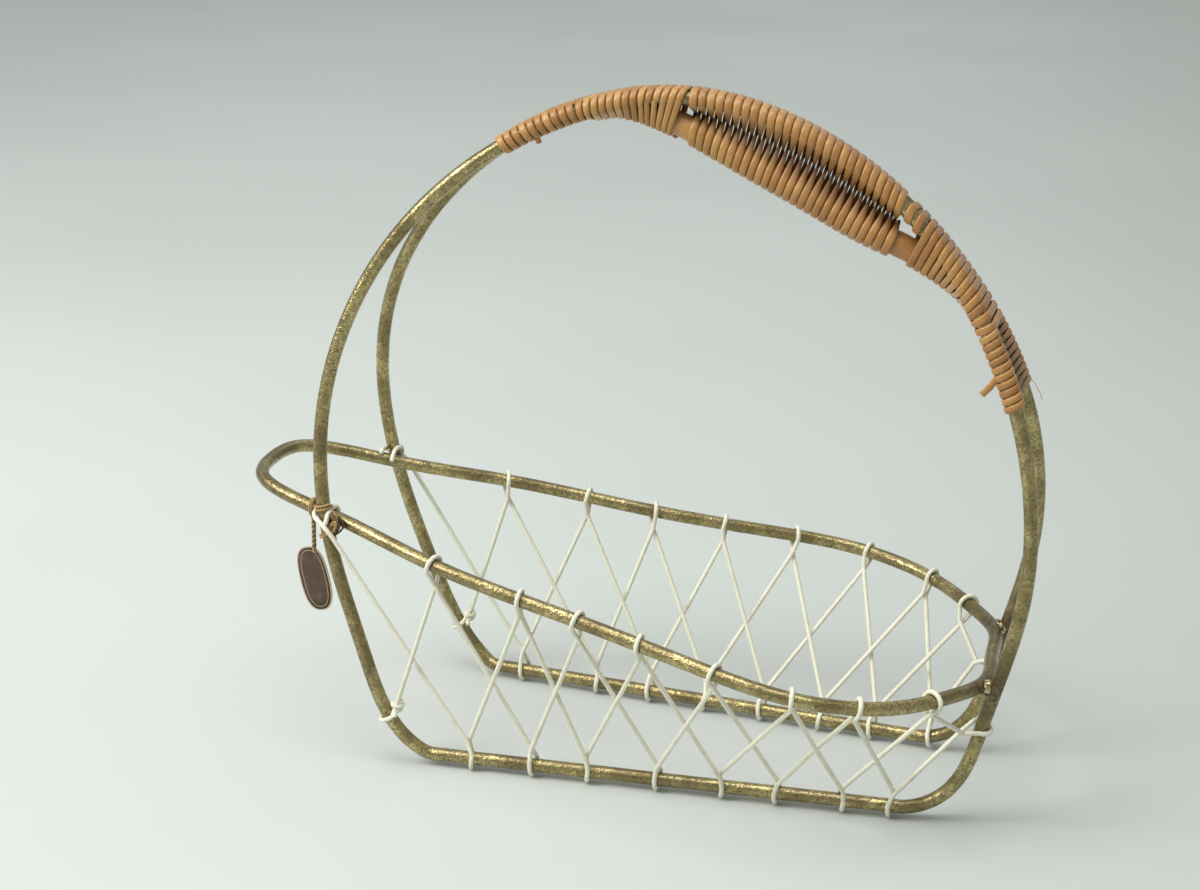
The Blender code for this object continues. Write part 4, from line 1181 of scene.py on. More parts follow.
    def places(self, side: Side) -> list[Place]:
        """Where the hitches after the lashing sit, in the order in which they are made.

        The cord goes out over hoop and rim by turns, round the rear leg, back over the places
        that it left out, and ends on the front leg.

        Args:
            side: Which side.

        Returns:
            Centres and directions.
        """
        hoop_row = [self.wires.hoop_place(share, side) for share in self.hoop_shares[side]]
        rim_row = [self.wires.rim_place(share, side) for share in self.rim_shares[side]]
        pairs = list(enumerate(zip(hoop_row, rim_row)))
        out = [pair[index % 2] for index, pair in pairs]
        back = [pair[1 - index % 2] for index, pair in pairs]
        turning = self.wires.hoop_place(self.rear_share, side)
        end = self.wires.hoop_place(self.end_share, side)
        return out + [turning] + back[::-1] + [end]

    def hitches(self, side: Side) -> list[list[np.ndarray]]:
        """The lashing and then each hitch, turned towards the strands that leave it.

        Args:
            side: Which side.

        Returns:
            Each one's points.
        """
        made = [self.lashing(side, self.lashing_seats)]
        places = self.places(side)
        last = len(places)
        stops = [made[0][-1]] + [centre for centre, _ in places]
        for index, (centre, way) in enumerate(places, start=1):
            before, after = stops[index - 1], stops[min(index + 1, last)]
            way = way * math.copysign(1.0, way @ (after - before))
            strands = unit((before if index == last else (before + after) / 2) - centre)
            to_net = unit(strands - way * (strands @ way))
            outward = outwards(np.cross(way, to_net), side)
            slide = self.neck_slide * float(strands @ way)
            made.append(self.hitch((centre, way), to_net, outward, slide))
        return made

    def apart(self, first: Place, second: Place, outward: np.ndarray) -> Place:
        """Points of two runs where they pass, moved apart if they are too near to pass.

        Args:
            first: Both ends of one run.
            second: Both ends of the other.
            outward: The way in which they are moved apart.

        Returns:
            A point on each run.
        """
        (a, b), (c, d) = first, second
        one, two, between = b - a, d - c, a - c
        matrix = np.array(((one @ one, -one @ two), (one @ two, -two @ two)))
        shares = np.linalg.solve(matrix, -np.array((one @ between, two @ between)))
        on_first, on_second = a + one * shares[0], c + two * shares[1]
        gap = float((on_first - on_second) @ outward)
        lack = max(self.cord + self.self_gap - abs(gap), 0.0) / 2 * math.copysign(1.0, gap)
        return on_first + outward * lack, on_second - outward * lack

    def crossings(self, side: Side, hitches: list[list[np.ndarray]]) -> dict[int, np.ndarray]:
        """Where the runs out and the runs back pass each other.

        Args:
            side: Which side.
            hitches: The side's hitches.

        Returns:
            A point for each run, under the number of the hitch that it leaves.
        """
        last = len(hitches) - 1
        passing = {}
        for index in range(last // 2):
            run_out = (hitches[index][-1], hitches[index + 1][0])
            run_back = (hitches[last - index - 1][-1], hitches[last - index][0])
            square = unit(np.cross(run_out[1] - run_out[0], run_back[1] - run_back[0]))
            pair = self.apart(run_out, run_back, outwards(square, side))
            passing[index], passing[last - index - 1] = pair
        return passing

    def route(self, side: Side) -> np.ndarray:
        """The whole route of one side's cord, from its first cut end to its last.

        Args:
            side: Which side.

        Returns:
            Rows of points.
        """
        hitches = self.hitches(side)
        passing = self.crossings(side, hitches)
        points = []
        for index, hitch in enumerate(hitches):
            points += hitch
            if index in passing and 0 < index < len(hitches) - 2:
                points.append(passing[index])
        points.append(points[-1] + unit(points[-1] - hitches[-1][0]) * self.tail)
        return np.array(points)

    def laid(self, route: np.ndarray) -> Skin:
        """A stretch of cord: strands laid round each other along a softened route.

        Args:
            route: Rows of points.

        Returns:
            The cord's surface, kept above the floor.
        """
        points = Line(route).softened(self.softness, self.spacing).points
        points[:, 2] = np.maximum(points[:, 2], self.cord * self.floor_share)
        line = Line(points)
        twist = line.run * 2 * math.pi / self.lay
        radii = self.cord / 2 * (0.97 + 0.06 * wander(line.run, 0.011, 5))
        profile = round_profile(radii, self.sides, self.strands, self.groove, twist)
        return swept(line, carried(points, UP), profile, wander(line.run, 0.02, 7))

    def knot(self, side: Side, route: np.ndarray) -> list[Skin]:
        """The end knot: a coil round the cord just before its neck, and two cut ends.

        A coil's point is the neck, plus a circle square to the cord at the turn's angle, plus
        the share of the coil along the cord. A turn rises by one cord.

        Args:
            side: Which side.
            route: The side's whole route, which ends at the neck.

        Returns:
            The knot's surfaces.
        """
        _, way = self.wires.hoop_place(self.end_share, side)
        incoming, before = route[-2 * self.loop_points - 3], route[-2 * self.loop_points - 4]
        neck = (route[-2] + incoming) / 2
        towards = unit(before - neck)
        across = unit(np.cross(towards, way))
        other = np.cross(towards, across)
        share = np.linspace(0.0, 1.0, self.knot_points)[:, None]
        turn = 2 * math.pi * self.knot_turns * share
        rise = (share - self.knot_lead) * self.cord * self.knot_turns - self.knot_back
        circle = (across * np.cos(turn) + other * np.sin(turn)) * self.cord * self.knot_reach
        coil = neck + circle + towards * rise
        skins = [self.laid(coil)]
        along = np.linspace(0.0, self.cut_length, self.cut_points)[:, None]
        for lean, start in zip(self.cut_leans, (coil[0], coil[-1])):
            out = unit(way * math.copysign(1.0, way[0]) + across * lean - UP * self.cut_fall)
            skins.append(self.laid(start + out * along))
        return skins

    def build(self, finish: bpy.types.Material) -> None:
        """Both sides' cords, each with the short cord at the joint and its end knot.

        Args:
            finish: The cord's finish.
        """
        for side in Side:
            route = self.route(side)
            arm = np.array(self.lashing(side, self.arm_seats))
            skins = [self.laid(route), self.laid(arm), *self.knot(side, route)]
            made_piece(f"lacing_cord_{side.word}", skins, finish, "basket",
                       (f"side_lacing_{side.word}",))


# The grip

@dataclass
class Wound:
    """A strand's path as it is wound on the grip.

    Attributes:
        points: The path.
        ways: The direction of the strand's width at each point.
        a_turn: Points in a turn.
        crossing: How near each point is to an eight's crossing, from 0 to 1; it draws the strand in
            and sets its painted shade.
    """

    points: np.ndarray
    ways: np.ndarray
    a_turn: int
    crossing: np.ndarray | None = None


@dataclass(frozen=True)
class LooseEnd:
    """A cut end of cane, or a fibre, that stands off the grip.

    Attributes:
        name: The piece's name, less its last word.
        share: Its place, as a share of the grip's length.
        length, width: Its size.
        lean: How far it leans along the grip for each unit that it stands out.
        side: NEAR under the near tube, or FAR over the far one.
        sunk: How deep its root lies in the winding.
        nodes: The CAD node that it stands for, where there is one.
    """

    name: str
    share: float
    length: float
    width: float
    lean: float
    side: Side
    sunk: float
    nodes: tuple[str, ...]


@dataclass
class Grip:
    """The handle's grip: a cane core under the two tubes, and the cane wound round them.

    Attributes:
        start_share, end_share: The grip's ends, in shares of the arch from front to rear.
        strand, thickness: The split cane's width and thickness.
        painted_shade_reach: How far the painted shade of a crossing reaches.
        samples: Points in a turn of a belt.
        narrowest, pinch: The strand's least width and how much a crossing draws it in, as
            shares of the width.
        core_stations: Rows of a share of the grip's length, the core's thickness there as a
            share of its own, and its opening as a share of the bow.
        front_binding to rear_binding: Rows of the part of a winding that is done, with its
            places on the tubes and on the core as shares of the grip's length.
        lone_turns: Turns at the rear belt's start that leave the core out.
    """

    wires: WireFrame
    start_share: float = 0.3965
    end_share: float = 0.7476
    core: float = 0.0085
    core_gap: float = 0.0001
    bow: float = 0.0107
    strand: float = 0.0029
    thickness: float = 0.0011
    seat_gap: float = 0.00005
    turn_gap: float = 0.00012
    painted_shade_reach: float = 0.0036
    samples: int = 72
    strand_sides: int = 14
    core_sides: int = 40
    core_rows: int = 320
    narrowest: float = 0.35
    pinch: float = 0.60
    core_stations: tuple = (
        (0.140, 0.03, 0.00), (0.170, 0.20, 0.00), (0.221, 0.60, 0.00), (0.264, 0.93, 0.09),
        (0.318, 1.00, 0.44), (0.426, 1.00, 0.93), (0.539, 1.00, 1.00), (0.652, 1.00, 0.67),
        (0.705, 1.00, 0.28), (0.752, 0.85, 0.02), (0.792, 0.50, 0.00), (0.840, 0.20, 0.00),
        (0.870, 0.03, 0.00),
    )
    front_binding: tuple = ((0.0, 0.004, 0.0), (1.0, 0.131, 0.0))
    front_wrap: tuple = ((0.0, 0.130, 0.130), (0.55, 0.222, 0.221), (1.0, 0.295, 0.284))
    figure_eight: tuple = ((0.0, 0.303, 0.300), (1.0, 0.662, 0.686))
    rear_wrap: tuple = ((0.0, 0.671, 0.704), (0.14, 0.7095, 0.727), (1.0, 0.884, 0.884))
    rear_binding: tuple = ((0.0, 0.886, 0.0), (1.0, 1.006, 0.0))
    binding_eights: int = 10
    slit_eights: int = 27
    front_turns: int = 14
    rear_turns: int = 15
    lone_turns: float = 1.6
    loose_ends: tuple = (
        LooseEnd("rear_tail", 0.950, 0.0075, 0.0024, 0.55, Side.NEAR, 0.0010,
                 ("cane_tail_rear",)),
        LooseEnd("front_stub", 0.055, 0.0026, 0.0020, 0.0, Side.NEAR, 0.0010,
                 ("cane_stub_front",)),
        LooseEnd("rear_fibre", 1.004, 0.0080, 0.0002, 6.0, Side.FAR, 0.0, ()),
    )
    loose_rows: int = 24
    loose_curl: float = 0.06
    loose_tone: float = 0.35
    start: float = field(init=False)
    length: float = field(init=False)
    core_shares: np.ndarray = field(init=False)
    core_places: np.ndarray = field(init=False)
    core_radii: np.ndarray = field(init=False)
    core_line: Line = field(init=False)

    def __post_init__(self) -> None:
        """Works out the core's centre line."""
        self.start = self.start_share * self.wires.arch.length
        self.length = (self.end_share - self.start_share) * self.wires.arch.length
        self.core_shares, thick, opening = np.array(self.core_stations).T
        middle, _, _, outside = self.between_tubes(self.core_shares)
        self.core_radii = self.core / 2 * thick
        depth = self.wires.tube / 2 + self.core_gap + self.core_radii + self.bow * opening
        stations = middle - outside * depth[:, None]
        self.core_places = Line(stations).run / Line(stations).length
        self.core_line = Line.smooth(list(stations), end_way=unit(stations[-1] - stations[0]))

    def between_tubes(self, shares: np.ndarray) -> tuple:
        """Where the two tubes lie along the grip.

        Args:
            shares: Places, as shares of the grip's length.

        Returns:
            Middles between the tubes, half their spread, their ways, and the ways outward.
        """
        points, ways = self.wires.arch.at(self.start + np.asarray(shares) * self.length)
        ways = unit(ways * UPRIGHT)
        return points * UPRIGHT, points[:, 1], ways, np.cross(ways, ACROSS)

    def sections(self, shares: np.ndarray, core_shares: np.ndarray) -> dict[str, np.ndarray]:
        """Sections through tubes and core.

        Args:
            shares: Places on the tubes, as shares of the grip's length.
            core_shares: Places on the core, as shares too.

        Returns:
            Origins between the tubes, upward ways, half spreads, the core's depths and radii
            (0 past its tips), and the ways of the tubes and of the core.
        """
        middle, spread, way, outside = self.between_tubes(shares)
        places = np.interp(core_shares, self.core_shares, self.core_places)
        centres, core_ways = self.core_line.at(places * self.core_line.length)
        radii = np.interp(places, self.core_places, self.core_radii)
        there = (core_shares >= self.core_shares[0]) & (core_shares <= self.core_shares[-1])
        upward = np.where(there[:, None], unit(middle - centres), outside)
        depth = np.linalg.norm(middle - centres, axis=1)
        return {"origin": middle, "up": upward, "spread": spread, "depth": depth,
                "core": np.where(there, radii, 0.0), "way": way, "core_way": core_ways}

    def placed(self, section: dict[str, np.ndarray], flat: np.ndarray) -> tuple:
        """World places of points in the sections, and the grip's way there.

        The way turns from the tubes' to the core's as the point lies deeper.

        Args:
            section: The sections.
            flat: Each point's places across and upward.

        Returns:
            Points and ways.
        """
        part = np.clip(-flat[:, 1] / section["depth"], 0.0, 1.0)[:, None]
        part = np.where(section["core"][:, None] > 0, part, 0.0)
        points = section["origin"] + ACROSS * flat[:, :1] + section["up"] * flat[:, 1:]
        return points, unit(section["way"] * (1 - part) + section["core_way"] * part)

    @staticmethod
    def shares(rows: tuple, parts: np.ndarray) -> tuple[np.ndarray, np.ndarray]:
        """Places on the tubes and on the core at parts of a winding's turns."""
        done, tubes, cores = np.array(rows).T
        return np.interp(parts, done, tubes), np.interp(parts, done, cores)

    def belt(self, rows: tuple, turns: int, lone: float = 0.0) -> Wound:
        """A tight belt wound round tubes and core.

        At each angle the belt's point is that of the circle which reaches furthest that
        way: the circle's centre plus its radius and the strand's half thickness along the
        angle. Straight runs join one circle to the next by themselves. Within a turn the
        belt moves along the grip in step with its length.

        Args:
            rows: Parts of the winding with places on the tubes and on the core.
            turns: How many turns.
            lone: Turns at the start that leave the core out.

        Returns:
            The strand's path.
        """
        parts = np.linspace(0.0, 1.0, turns * self.samples + 1)
        angles = -math.pi / 2 - 2 * math.pi * turns * parts
        ray = np.column_stack([np.cos(angles), np.sin(angles)])
        zero = np.zeros(len(parts))
        tube = np.full(len(parts), self.wires.tube / 2)
        index = np.arange(len(parts))
        run = parts
        for _ in range(2):
            section = self.sections(*self.shares(rows, run))
            held = (section["core"] > 0) & (parts * turns > lone)
            centre = np.stack([np.column_stack([-section["spread"], zero]),
                               np.column_stack([section["spread"], zero]),
                               np.column_stack([zero, -section["depth"]])])
            radius = np.stack([tube, tube, np.where(held, section["core"], -1.0)])
            best = ((centre * ray).sum(axis=2) + radius).argmax(axis=0)
            seat = radius[best, index] + self.seat_gap + self.thickness / 2
            flat = centre[best, index] + ray * seat[:, None]
            steps = np.linalg.norm(np.diff(flat, axis=0), axis=1)
            done = np.concatenate(([0.0], np.cumsum(steps)))
            run = np.interp(done, done[::self.samples], parts[::self.samples])
        return Wound(*self.placed(section, flat), self.samples)

    def rail(self, circles: list[tuple], middle: np.ndarray, axis: np.ndarray,
             count: int) -> np.ndarray:
        """Points of an eight's strand on one rail, which lies from the middle along axis.

        The strand leaves for the middle on lines that touch the rail's circles, and between
        those touches it follows the circles at even angles.

        Args:
            circles: One or two (centres, radii), the first on the side that the strand
                reaches first.
            middle: Where the eight crosses itself, in each section.
            axis: From the middle to the rail.
            count: Points on the rail.

        Returns:
            Sections by count by two.
        """
        aside = np.array((axis[1], -axis[0]))
        base = math.atan2(aside[1], aside[0])
        (centre, radius), (last, last_radius) = circles[0], circles[-1]
        run = middle - centre
        reach = radius + self.seat_gap + self.thickness / 2
        touch = np.arccos(np.minimum(reach / np.linalg.norm(run, axis=1), 1.0))
        first = np.arctan2(run @ axis, run @ aside) + touch
        share = np.linspace(0.0, 1.0, count)[None]
        angles = base + first[:, None] + (math.pi - 2 * first[:, None]) * share
        ray = np.stack([np.cos(angles), np.sin(angles)], axis=-1)
        on_first = (angles <= base + math.pi / 2)[..., None]
        centres = np.where(on_first, centre[:, None], last[:, None])
        seats = np.where(on_first[..., 0], reach[:, None],
                         (last_radius + self.seat_gap + self.thickness / 2)[:, None])
        return centres + ray * seats[..., None]

    def eight(self, rows: tuple, turns: int, over_core: bool) -> Wound:
        """Figure-eight turns: over one rail, through the opening, and round the other.

        Args:
            rows: Parts of the winding with places on the tubes and on the core.
            turns: How many eights.
            over_core: Whether the rails are both tubes and the core, or else the two tubes.

        Returns:
            The strand's path.
        """
        half_turn = self.samples // 2
        a_turn = 2 * half_turn + 2
        index = np.arange(turns * a_turn)
        section = self.sections(*self.shares(rows, index / len(index)))
        zero = np.zeros(len(index))
        tube = np.full(len(index), self.wires.tube / 2)
        near = (np.column_stack([-section["spread"], zero]), tube)
        far = (np.column_stack([section["spread"], zero]), tube)
        if over_core:
            axis = np.array((0.0, 1.0))
            low = -section["depth"] + section["core"]
            middle = np.column_stack([zero, (low - tube) / 2])
            tops = [far, near]
            bottoms = [(np.column_stack([zero, -section["depth"]]), section["core"])]
        else:
            axis = np.array((-1.0, 0.0))
            middle = np.zeros((len(index), 2))
            tops, bottoms = [near], [far]
        over = self.rail(tops, middle, axis, half_turn)
        under = self.rail(bottoms, middle, -axis, half_turn)[:, ::-1]
        loop = np.concatenate([over, middle[:, None], under, middle[:, None]], axis=1)
        flat = loop[index, index % a_turn]
        away = np.linalg.norm(flat - middle, axis=1)
        return Wound(*self.placed(section, flat), a_turn, np.exp(-(away / self.painted_shade_reach)**2))

    def strand_skin(self, wound: Wound, seed: int) -> Skin:
        """A flat strand with a crowned rind along a wound path.

        The profile is a flattened oval: across it half the width times the cosine to the
        power 0.75, and through it half the thickness times the sine to the power 0.85. The
        width is the strand's own, or the distance to the next turn less a gap.

        Args:
            wound: The strand's path.
            seed: Seed of the tones and widths.

        Returns:
            The strand's surface.
        """
        points, a_turn = wound.points, wound.a_turn
        line = Line(points)
        along = unit(np.gradient(points, axis=0))
        wide = unit(wound.ways - along * dots(wound.ways, along))
        pitch = np.full(len(points), self.strand + self.turn_gap)
        step = np.abs(dots(points[a_turn:] - points[:-a_turn], wide[a_turn:])[:, 0])
        pitch[a_turn:] = np.minimum(pitch[a_turn:], step)
        pitch[:-a_turn] = np.minimum(pitch[:-a_turn], step)
        widths = np.maximum(pitch - self.turn_gap, self.strand * self.narrowest)
        if wound.crossing is not None:
            widths = widths * (1 - self.pinch * wound.crossing**3)
        widths = widths * (0.95 + 0.05 * wander(line.run, 0.009, seed + 1))
        angles = np.linspace(0.0, 2 * math.pi, self.strand_sides, endpoint=False)
        first = np.sign(np.cos(angles)) * np.abs(np.cos(angles))**0.75
        second = np.sign(np.sin(angles)) * np.abs(np.sin(angles))**0.85
        thick = np.full((len(points), 1), self.thickness / 2)
        profile = np.stack([widths[:, None] / 2 * first, thick * second], axis=-1)
        tone = 0.70 * wander(line.run, 0.019, seed + 2) + 0.30 * wander(line.run, 0.15, seed + 3)
        # The crossing is kept as the recess, which paints shade on the cane.
        return swept(line, wide, profile, tone, recess=wound.crossing)

    def build_core(self, cane: bpy.types.Material) -> None:
        """The core: a round cane rod, scarfed thin at both tips.

        Args:
            cane: Its finish.
        """
        line = self.core_line.evenly(self.core_rows)
        radii = np.interp(line.run / line.length, self.core_places, self.core_radii)
        radii = radii * (0.99 + 0.02 * wander(line.run, 0.012, 3))
        profile = round_profile(radii, self.core_sides)
        skin = swept(line, ACROSS, profile, wander(line.run, 0.03, 9))
        made_piece("grip_core_rod", [skin], cane, "basket", ("grip_core_cane",))

    def build_windings(self, cane: bpy.types.Material) -> None:
        """All the strands wound on the grip, from the front to the rear.

        Args:
            cane: Their finish.
        """
        strands = {
            "front_binding": self.eight(self.front_binding, self.binding_eights, False),
            "front_wrap": self.belt(self.front_wrap, self.front_turns),
            "figure_eight": self.eight(self.figure_eight, self.slit_eights, True),
            "rear_wrap": self.belt(self.rear_wrap, self.rear_turns, self.lone_turns),
            "rear_binding": self.eight(self.rear_binding, self.binding_eights, False),
        }
        for number, (name, wound) in enumerate(strands.items()):
            skin = self.strand_skin(wound, 100 + 10 * number)
            made_piece(f"{name}_strand", [skin], cane, "basket", (f"winding_{name}",))

    def build_ends(self, cane: bpy.types.Material) -> None:
        """The loose ends: a flat tail under the rear, a stub under the front and a fibre.

        An end runs straight out and bends by a share of its length times the sine of its own
        run, and its section is an oval.

        Args:
            cane: Their finish.
        """
        share = np.linspace(0.0, 1.0, self.loose_rows)
        angles = np.linspace(0.0, 2 * math.pi, self.strand_sides, endpoint=False)
        for end in self.loose_ends:
            middle, spread, way, outside = (part[0] for part in self.between_tubes([end.share]))
            seat = self.wires.tube / 2 + self.seat_gap + self.thickness - end.sunk
            start = middle + (ACROSS * spread + outside * seat) * end.side.value
            reach = unit(way * end.lean + outside * end.side.value) * end.length
            curl = outside * end.length * self.loose_curl * np.sin(share * math.pi)[:, None]
            line = Line(start + reach * share[:, None] + curl)
            widths = end.width / 2 * (1 - 0.12 * wander(share, 0.2, 4))
            thick = np.full((len(share), 1), min(self.thickness, end.width) / 2)
            profile = np.stack([widths[:, None] * np.cos(angles), thick * np.sin(angles)], axis=-1)
            across = np.cross(reach, ACROSS) if end.lean else way
            skin = swept(line, across, profile, np.full(len(share), self.loose_tone))
            made_piece(f"{end.name}_cane", [skin], cane, "basket", end.nodes)


# The tie and the tag

@dataclass(frozen=True)
class Bow:
    """A small loop of loose twine beside the tie.

    Attributes:
        width, height: Half its width and half its height.
        place: Its middle's height over the joint.
        depth: How far it stands in front of the leg.
    """

    width: float
    height: float
    place: float
    depth: float


@dataclass
class Ties:
    """The twine tie at the front joint, and the tag on its string.

    Attributes:
        rise, drop: Height of the tie's turns over the joint, and depth of those below it.
        cord: Thickness of the lacing's cord, which the tie passes outside.
        tilt: How far the lower turns tilt, as a share of their pitch.
        tie_lay, loose_lay, string_lay: Length of a whole twist of each yarn.
        loose_share: Radius of the loose twine, as a share of the twine's thickness.
        tangle_bulges: How far each strand of the tangle stands off the leg.
        tangle_top, tangle_step, tangle_fall: Where the tangle starts over the joint, how much
            lower each strand starts, and how far a strand falls.
        bow_out, bow_lean, bow_swing: Where the bows' middles stand off the leg, how they rise
            with that, and how far they swing to the front.
        string_place, string_length: The string's place before the joint along the rim, and
            its length from the rim's middle to the tag's hole.
        loop_play, loop_past, loop_drift: The loop's radius as a share of the rim's, how far
            its turn goes past half a circle at each end, and how far it drifts along the rim
            in radii of the string.
        second_size, second_place: The second loop's size as a share of the first, and its
            place along the rim in radii.
        leg_turns, leg_spread: Turns of the string's legs, and their distance in radii.
        line_inset: Distances of the thin line's two edges from the tag's edge.
    """

    wires: WireFrame
    twine: float = 0.0009
    twine_gap: float = 0.0001
    pitch: float = 0.0012
    rise: float = 0.0034
    drop: float = 0.0038
    cord: float = 0.0015
    tilt: float = 0.6
    turn_points: int = 60
    tie_softness: float = 0.0003
    tie_lay: float = 0.0022
    loose_lay: float = 0.0019
    loose_share: float = 1 / 2.2
    tangle_bulges: tuple = (0.0046, 0.0058, 0.0052, 0.0041, 0.0062)
    tangle_points: int = 28
    tangle_root: float = 0.0020
    tangle_top: float = 0.0035
    tangle_step: float = 0.0004
    tangle_fall: float = 0.0075
    tangle_depth: float = 0.0004
    tangle_swing: float = 0.0016
    bows: tuple = (Bow(0.0023, 0.0011, -0.0052, 0.0019), Bow(0.0029, 0.0014, -0.0048, 0.0023))
    bow_points: int = 40
    bow_out: float = 0.0034
    bow_lean: float = 0.72
    bow_swing: float = 0.0006
    string: float = 0.0009
    string_lay: float = 0.0015
    string_place: float = 0.0092
    string_length: float = 0.0168
    string_softness: float = 0.00022
    spacing: float = 0.0001
    loop_play: float = 1.11
    loop_past: float = 0.95
    loop_drift: float = 1.2
    loop_points: int = 40
    second_size: float = 1.10
    second_place: float = 2.3
    leg_turns: float = 5.5
    leg_spread: float = 1.05
    leg_points: int = 70
    neck: float = 1.5
    eye_rise: float = 0.0012
    eye_spread: float = 1.3
    eye_dip: float = 0.0001
    tag_width: float = 0.0113
    tag_height: float = 0.0245
    tag_thickness: float = 0.0005
    tag_tilt: float = math.radians(13)
    tag_roundness: float = 0.76
    tag_points: int = 160
    hole_inset: float = 0.0014
    hole_radius: float = 0.0007
    border: float = 0.00045
    line_inset: tuple = (0.00145, 0.00163)
    leg: Line = field(init=False)
    base: float = field(init=False)
    front: np.ndarray = field(init=False)
    pivot: np.ndarray = field(init=False)
    level: np.ndarray = field(init=False)

    def __post_init__(self) -> None:
        """Finds the near leg, the joint on it, and the place where the string hangs.

        base is the joint's place along the leg, front the way from the rim to the leg, pivot
        the rim's centre under the string, and level the rim's level direction there.
        """
        on_leg, on_rim = (point * Side.NEAR.mirror
                          for point in self.wires.contacts[End.FRONT.value])
        leg = self.wires.leg(End.FRONT) * Side.NEAR.mirror
        self.leg = Line(leg[np.argsort(leg[:, 2])])
        self.base = float(np.interp(on_leg[2], self.leg.points[:, 2], self.leg.run))
        self.front = unit(on_leg - on_rim)
        half = self.wires.half
        joint = int(np.linalg.norm(half.points * Side.NEAR.mirror - on_rim, axis=1).argmin())
        point, way = half.at(half.run[joint] - self.string_place)
        self.pivot = point[0] * Side.NEAR.mirror
        self.level = unit(way[0] * LEVEL * Side.NEAR.mirror)

    def aside(self, ways: np.ndarray) -> np.ndarray:
        """Towards +X, square to the leg's ways and to the front."""
        aside = np.cross(ways, -self.front)
        return unit(aside * np.sign(aside[:, :1]))

    def plied(self, line: Line, radius: float, first: np.ndarray, lay: float,
              recess: np.ndarray | None = None) -> list[Skin]:
        """Two plies twisted round each other along a line.

        Each ply's centre stands half the yarn's radius off the line at an angle that grows
        with the length, and the plies are half a turn apart.

        Args:
            line: The yarn's line.
            radius: The yarn's radius.
            first: A vector that isn't along the line's start.
            lay: Length of one whole twist.
            recess: How much each point is darkened.

        Returns:
            The two plies.
        """
        across = carried(line.points, first)
        second = np.cross(unit(np.gradient(line.points, axis=0)), across)
        skins = []
        for start in (0.0, math.pi):
            angle = (start + 2 * math.pi * line.run / lay)[:, None]
            off = (across * np.cos(angle) + second * np.sin(angle)) * radius * 0.5
            ply = Line(line.points + off)
            radii = radius * (0.52 + 0.06 * wander(line.run, 0.003, 31))
            tone = wander(line.run, 0.006, 33)
            skins.append(swept(ply, across, round_profile(radii, 9), tone, recess=recess))
        return skins

    def turns(self) -> Line:
        """The tie's turns: two round the leg above the rim, and two tilted ones below it.

        A point is the leg's centre at its height, plus the reach at the angle of the turns
        that are done. Between the two pairs the twine passes outside the cord.

        Returns:
            The twine's line.
        """
        part = np.linspace(0.0, 1.0, self.turn_points)
        inner = self.wires.tube / 2 + self.twine_gap + self.twine / 2
        outer = inner + self.cord + self.twine_gap
        ring = np.full(self.turn_points, inner)
        reach = np.concatenate([ring, [outer, outer], ring])
        done = np.concatenate([2 * part, [2.0, 2.0], 2 + 2 * part])
        tilt = self.pitch * self.tilt * np.cos(4 * math.pi * part)
        heights = np.concatenate([self.rise + self.pitch * 2 * (1 - part),
                                  [self.rise / 2, -self.drop / 2],
                                  tilt - self.drop - self.pitch * 1.4 * part])
        centres, ways = self.leg.at(self.base + heights)
        along = self.aside(ways)
        angle = (2 * math.pi * done)[:, None]
        around = along * np.cos(angle) - np.cross(ways, along) * np.sin(angle)
        return Line(centres + around * reach[:, None]).softened(self.tie_softness, self.spacing)

    def tangle(self) -> list[Skin]:
        """Loose strands of twine beside the leg, each in a bow, and two small loops, all with
        painted shade.

        A strand falls evenly while it stands off the leg by a power of a sine, and in front
        of it by another sine. A loop is an oval that leans with its distance from the leg.

        Returns:
            The surfaces of all of them.
        """
        radius = self.twine * self.loose_share
        aside = self.aside(self.leg.at(self.base + self.rise + self.pitch * 2)[1])
        fall = np.linspace(0.0, 1.0, self.tangle_points)
        skins = []
        for number, bulge in enumerate(self.tangle_bulges):
            heights = self.tangle_top - self.tangle_step * number - self.tangle_fall * fall
            out = self.tangle_root + (bulge - self.tangle_root) * np.sin(math.pi * fall)**0.8
            depth = self.tangle_depth + self.tangle_swing * np.sin(math.pi * fall + 0.8 * number)
            path = (self.leg.at(self.base + heights)[0] + aside * out[:, None]
                    + self.front * depth[:, None])
            # Painted shade on the tangle, deeper for each later strand.
            shade = np.full(len(fall), 0.80 + 0.10 * number)
            skins += self.plied(Line(path), radius, UP, self.loose_lay, shade)
        round_it = np.linspace(0.0, 2 * math.pi, self.bow_points)
        for bow in self.bows:
            out = self.bow_out - bow.width * np.cos(round_it)
            heights = bow.place + bow.height * np.sin(round_it) + self.bow_lean * out
            depth = bow.depth - self.bow_swing * np.cos(round_it)
            path = (self.leg.at(self.base + heights)[0] + aside * out[:, None]
                    + self.front * depth[:, None])
            # A little painted shade on the loops.
            shade = np.full(len(round_it), 0.1)
            skins += self.plied(Line(path), radius, UP, self.loose_lay, shade)
        return skins

    def build_tie(self, twine: bpy.types.Material) -> None:
        """The tie round the near hoop, with its tangle of loose twine."""
        skins = self.plied(self.turns(), self.twine / 2, UP, self.tie_lay)
        made_piece("twine_tie", skins + self.tangle(), twine, "basket", ("tag_tie",))

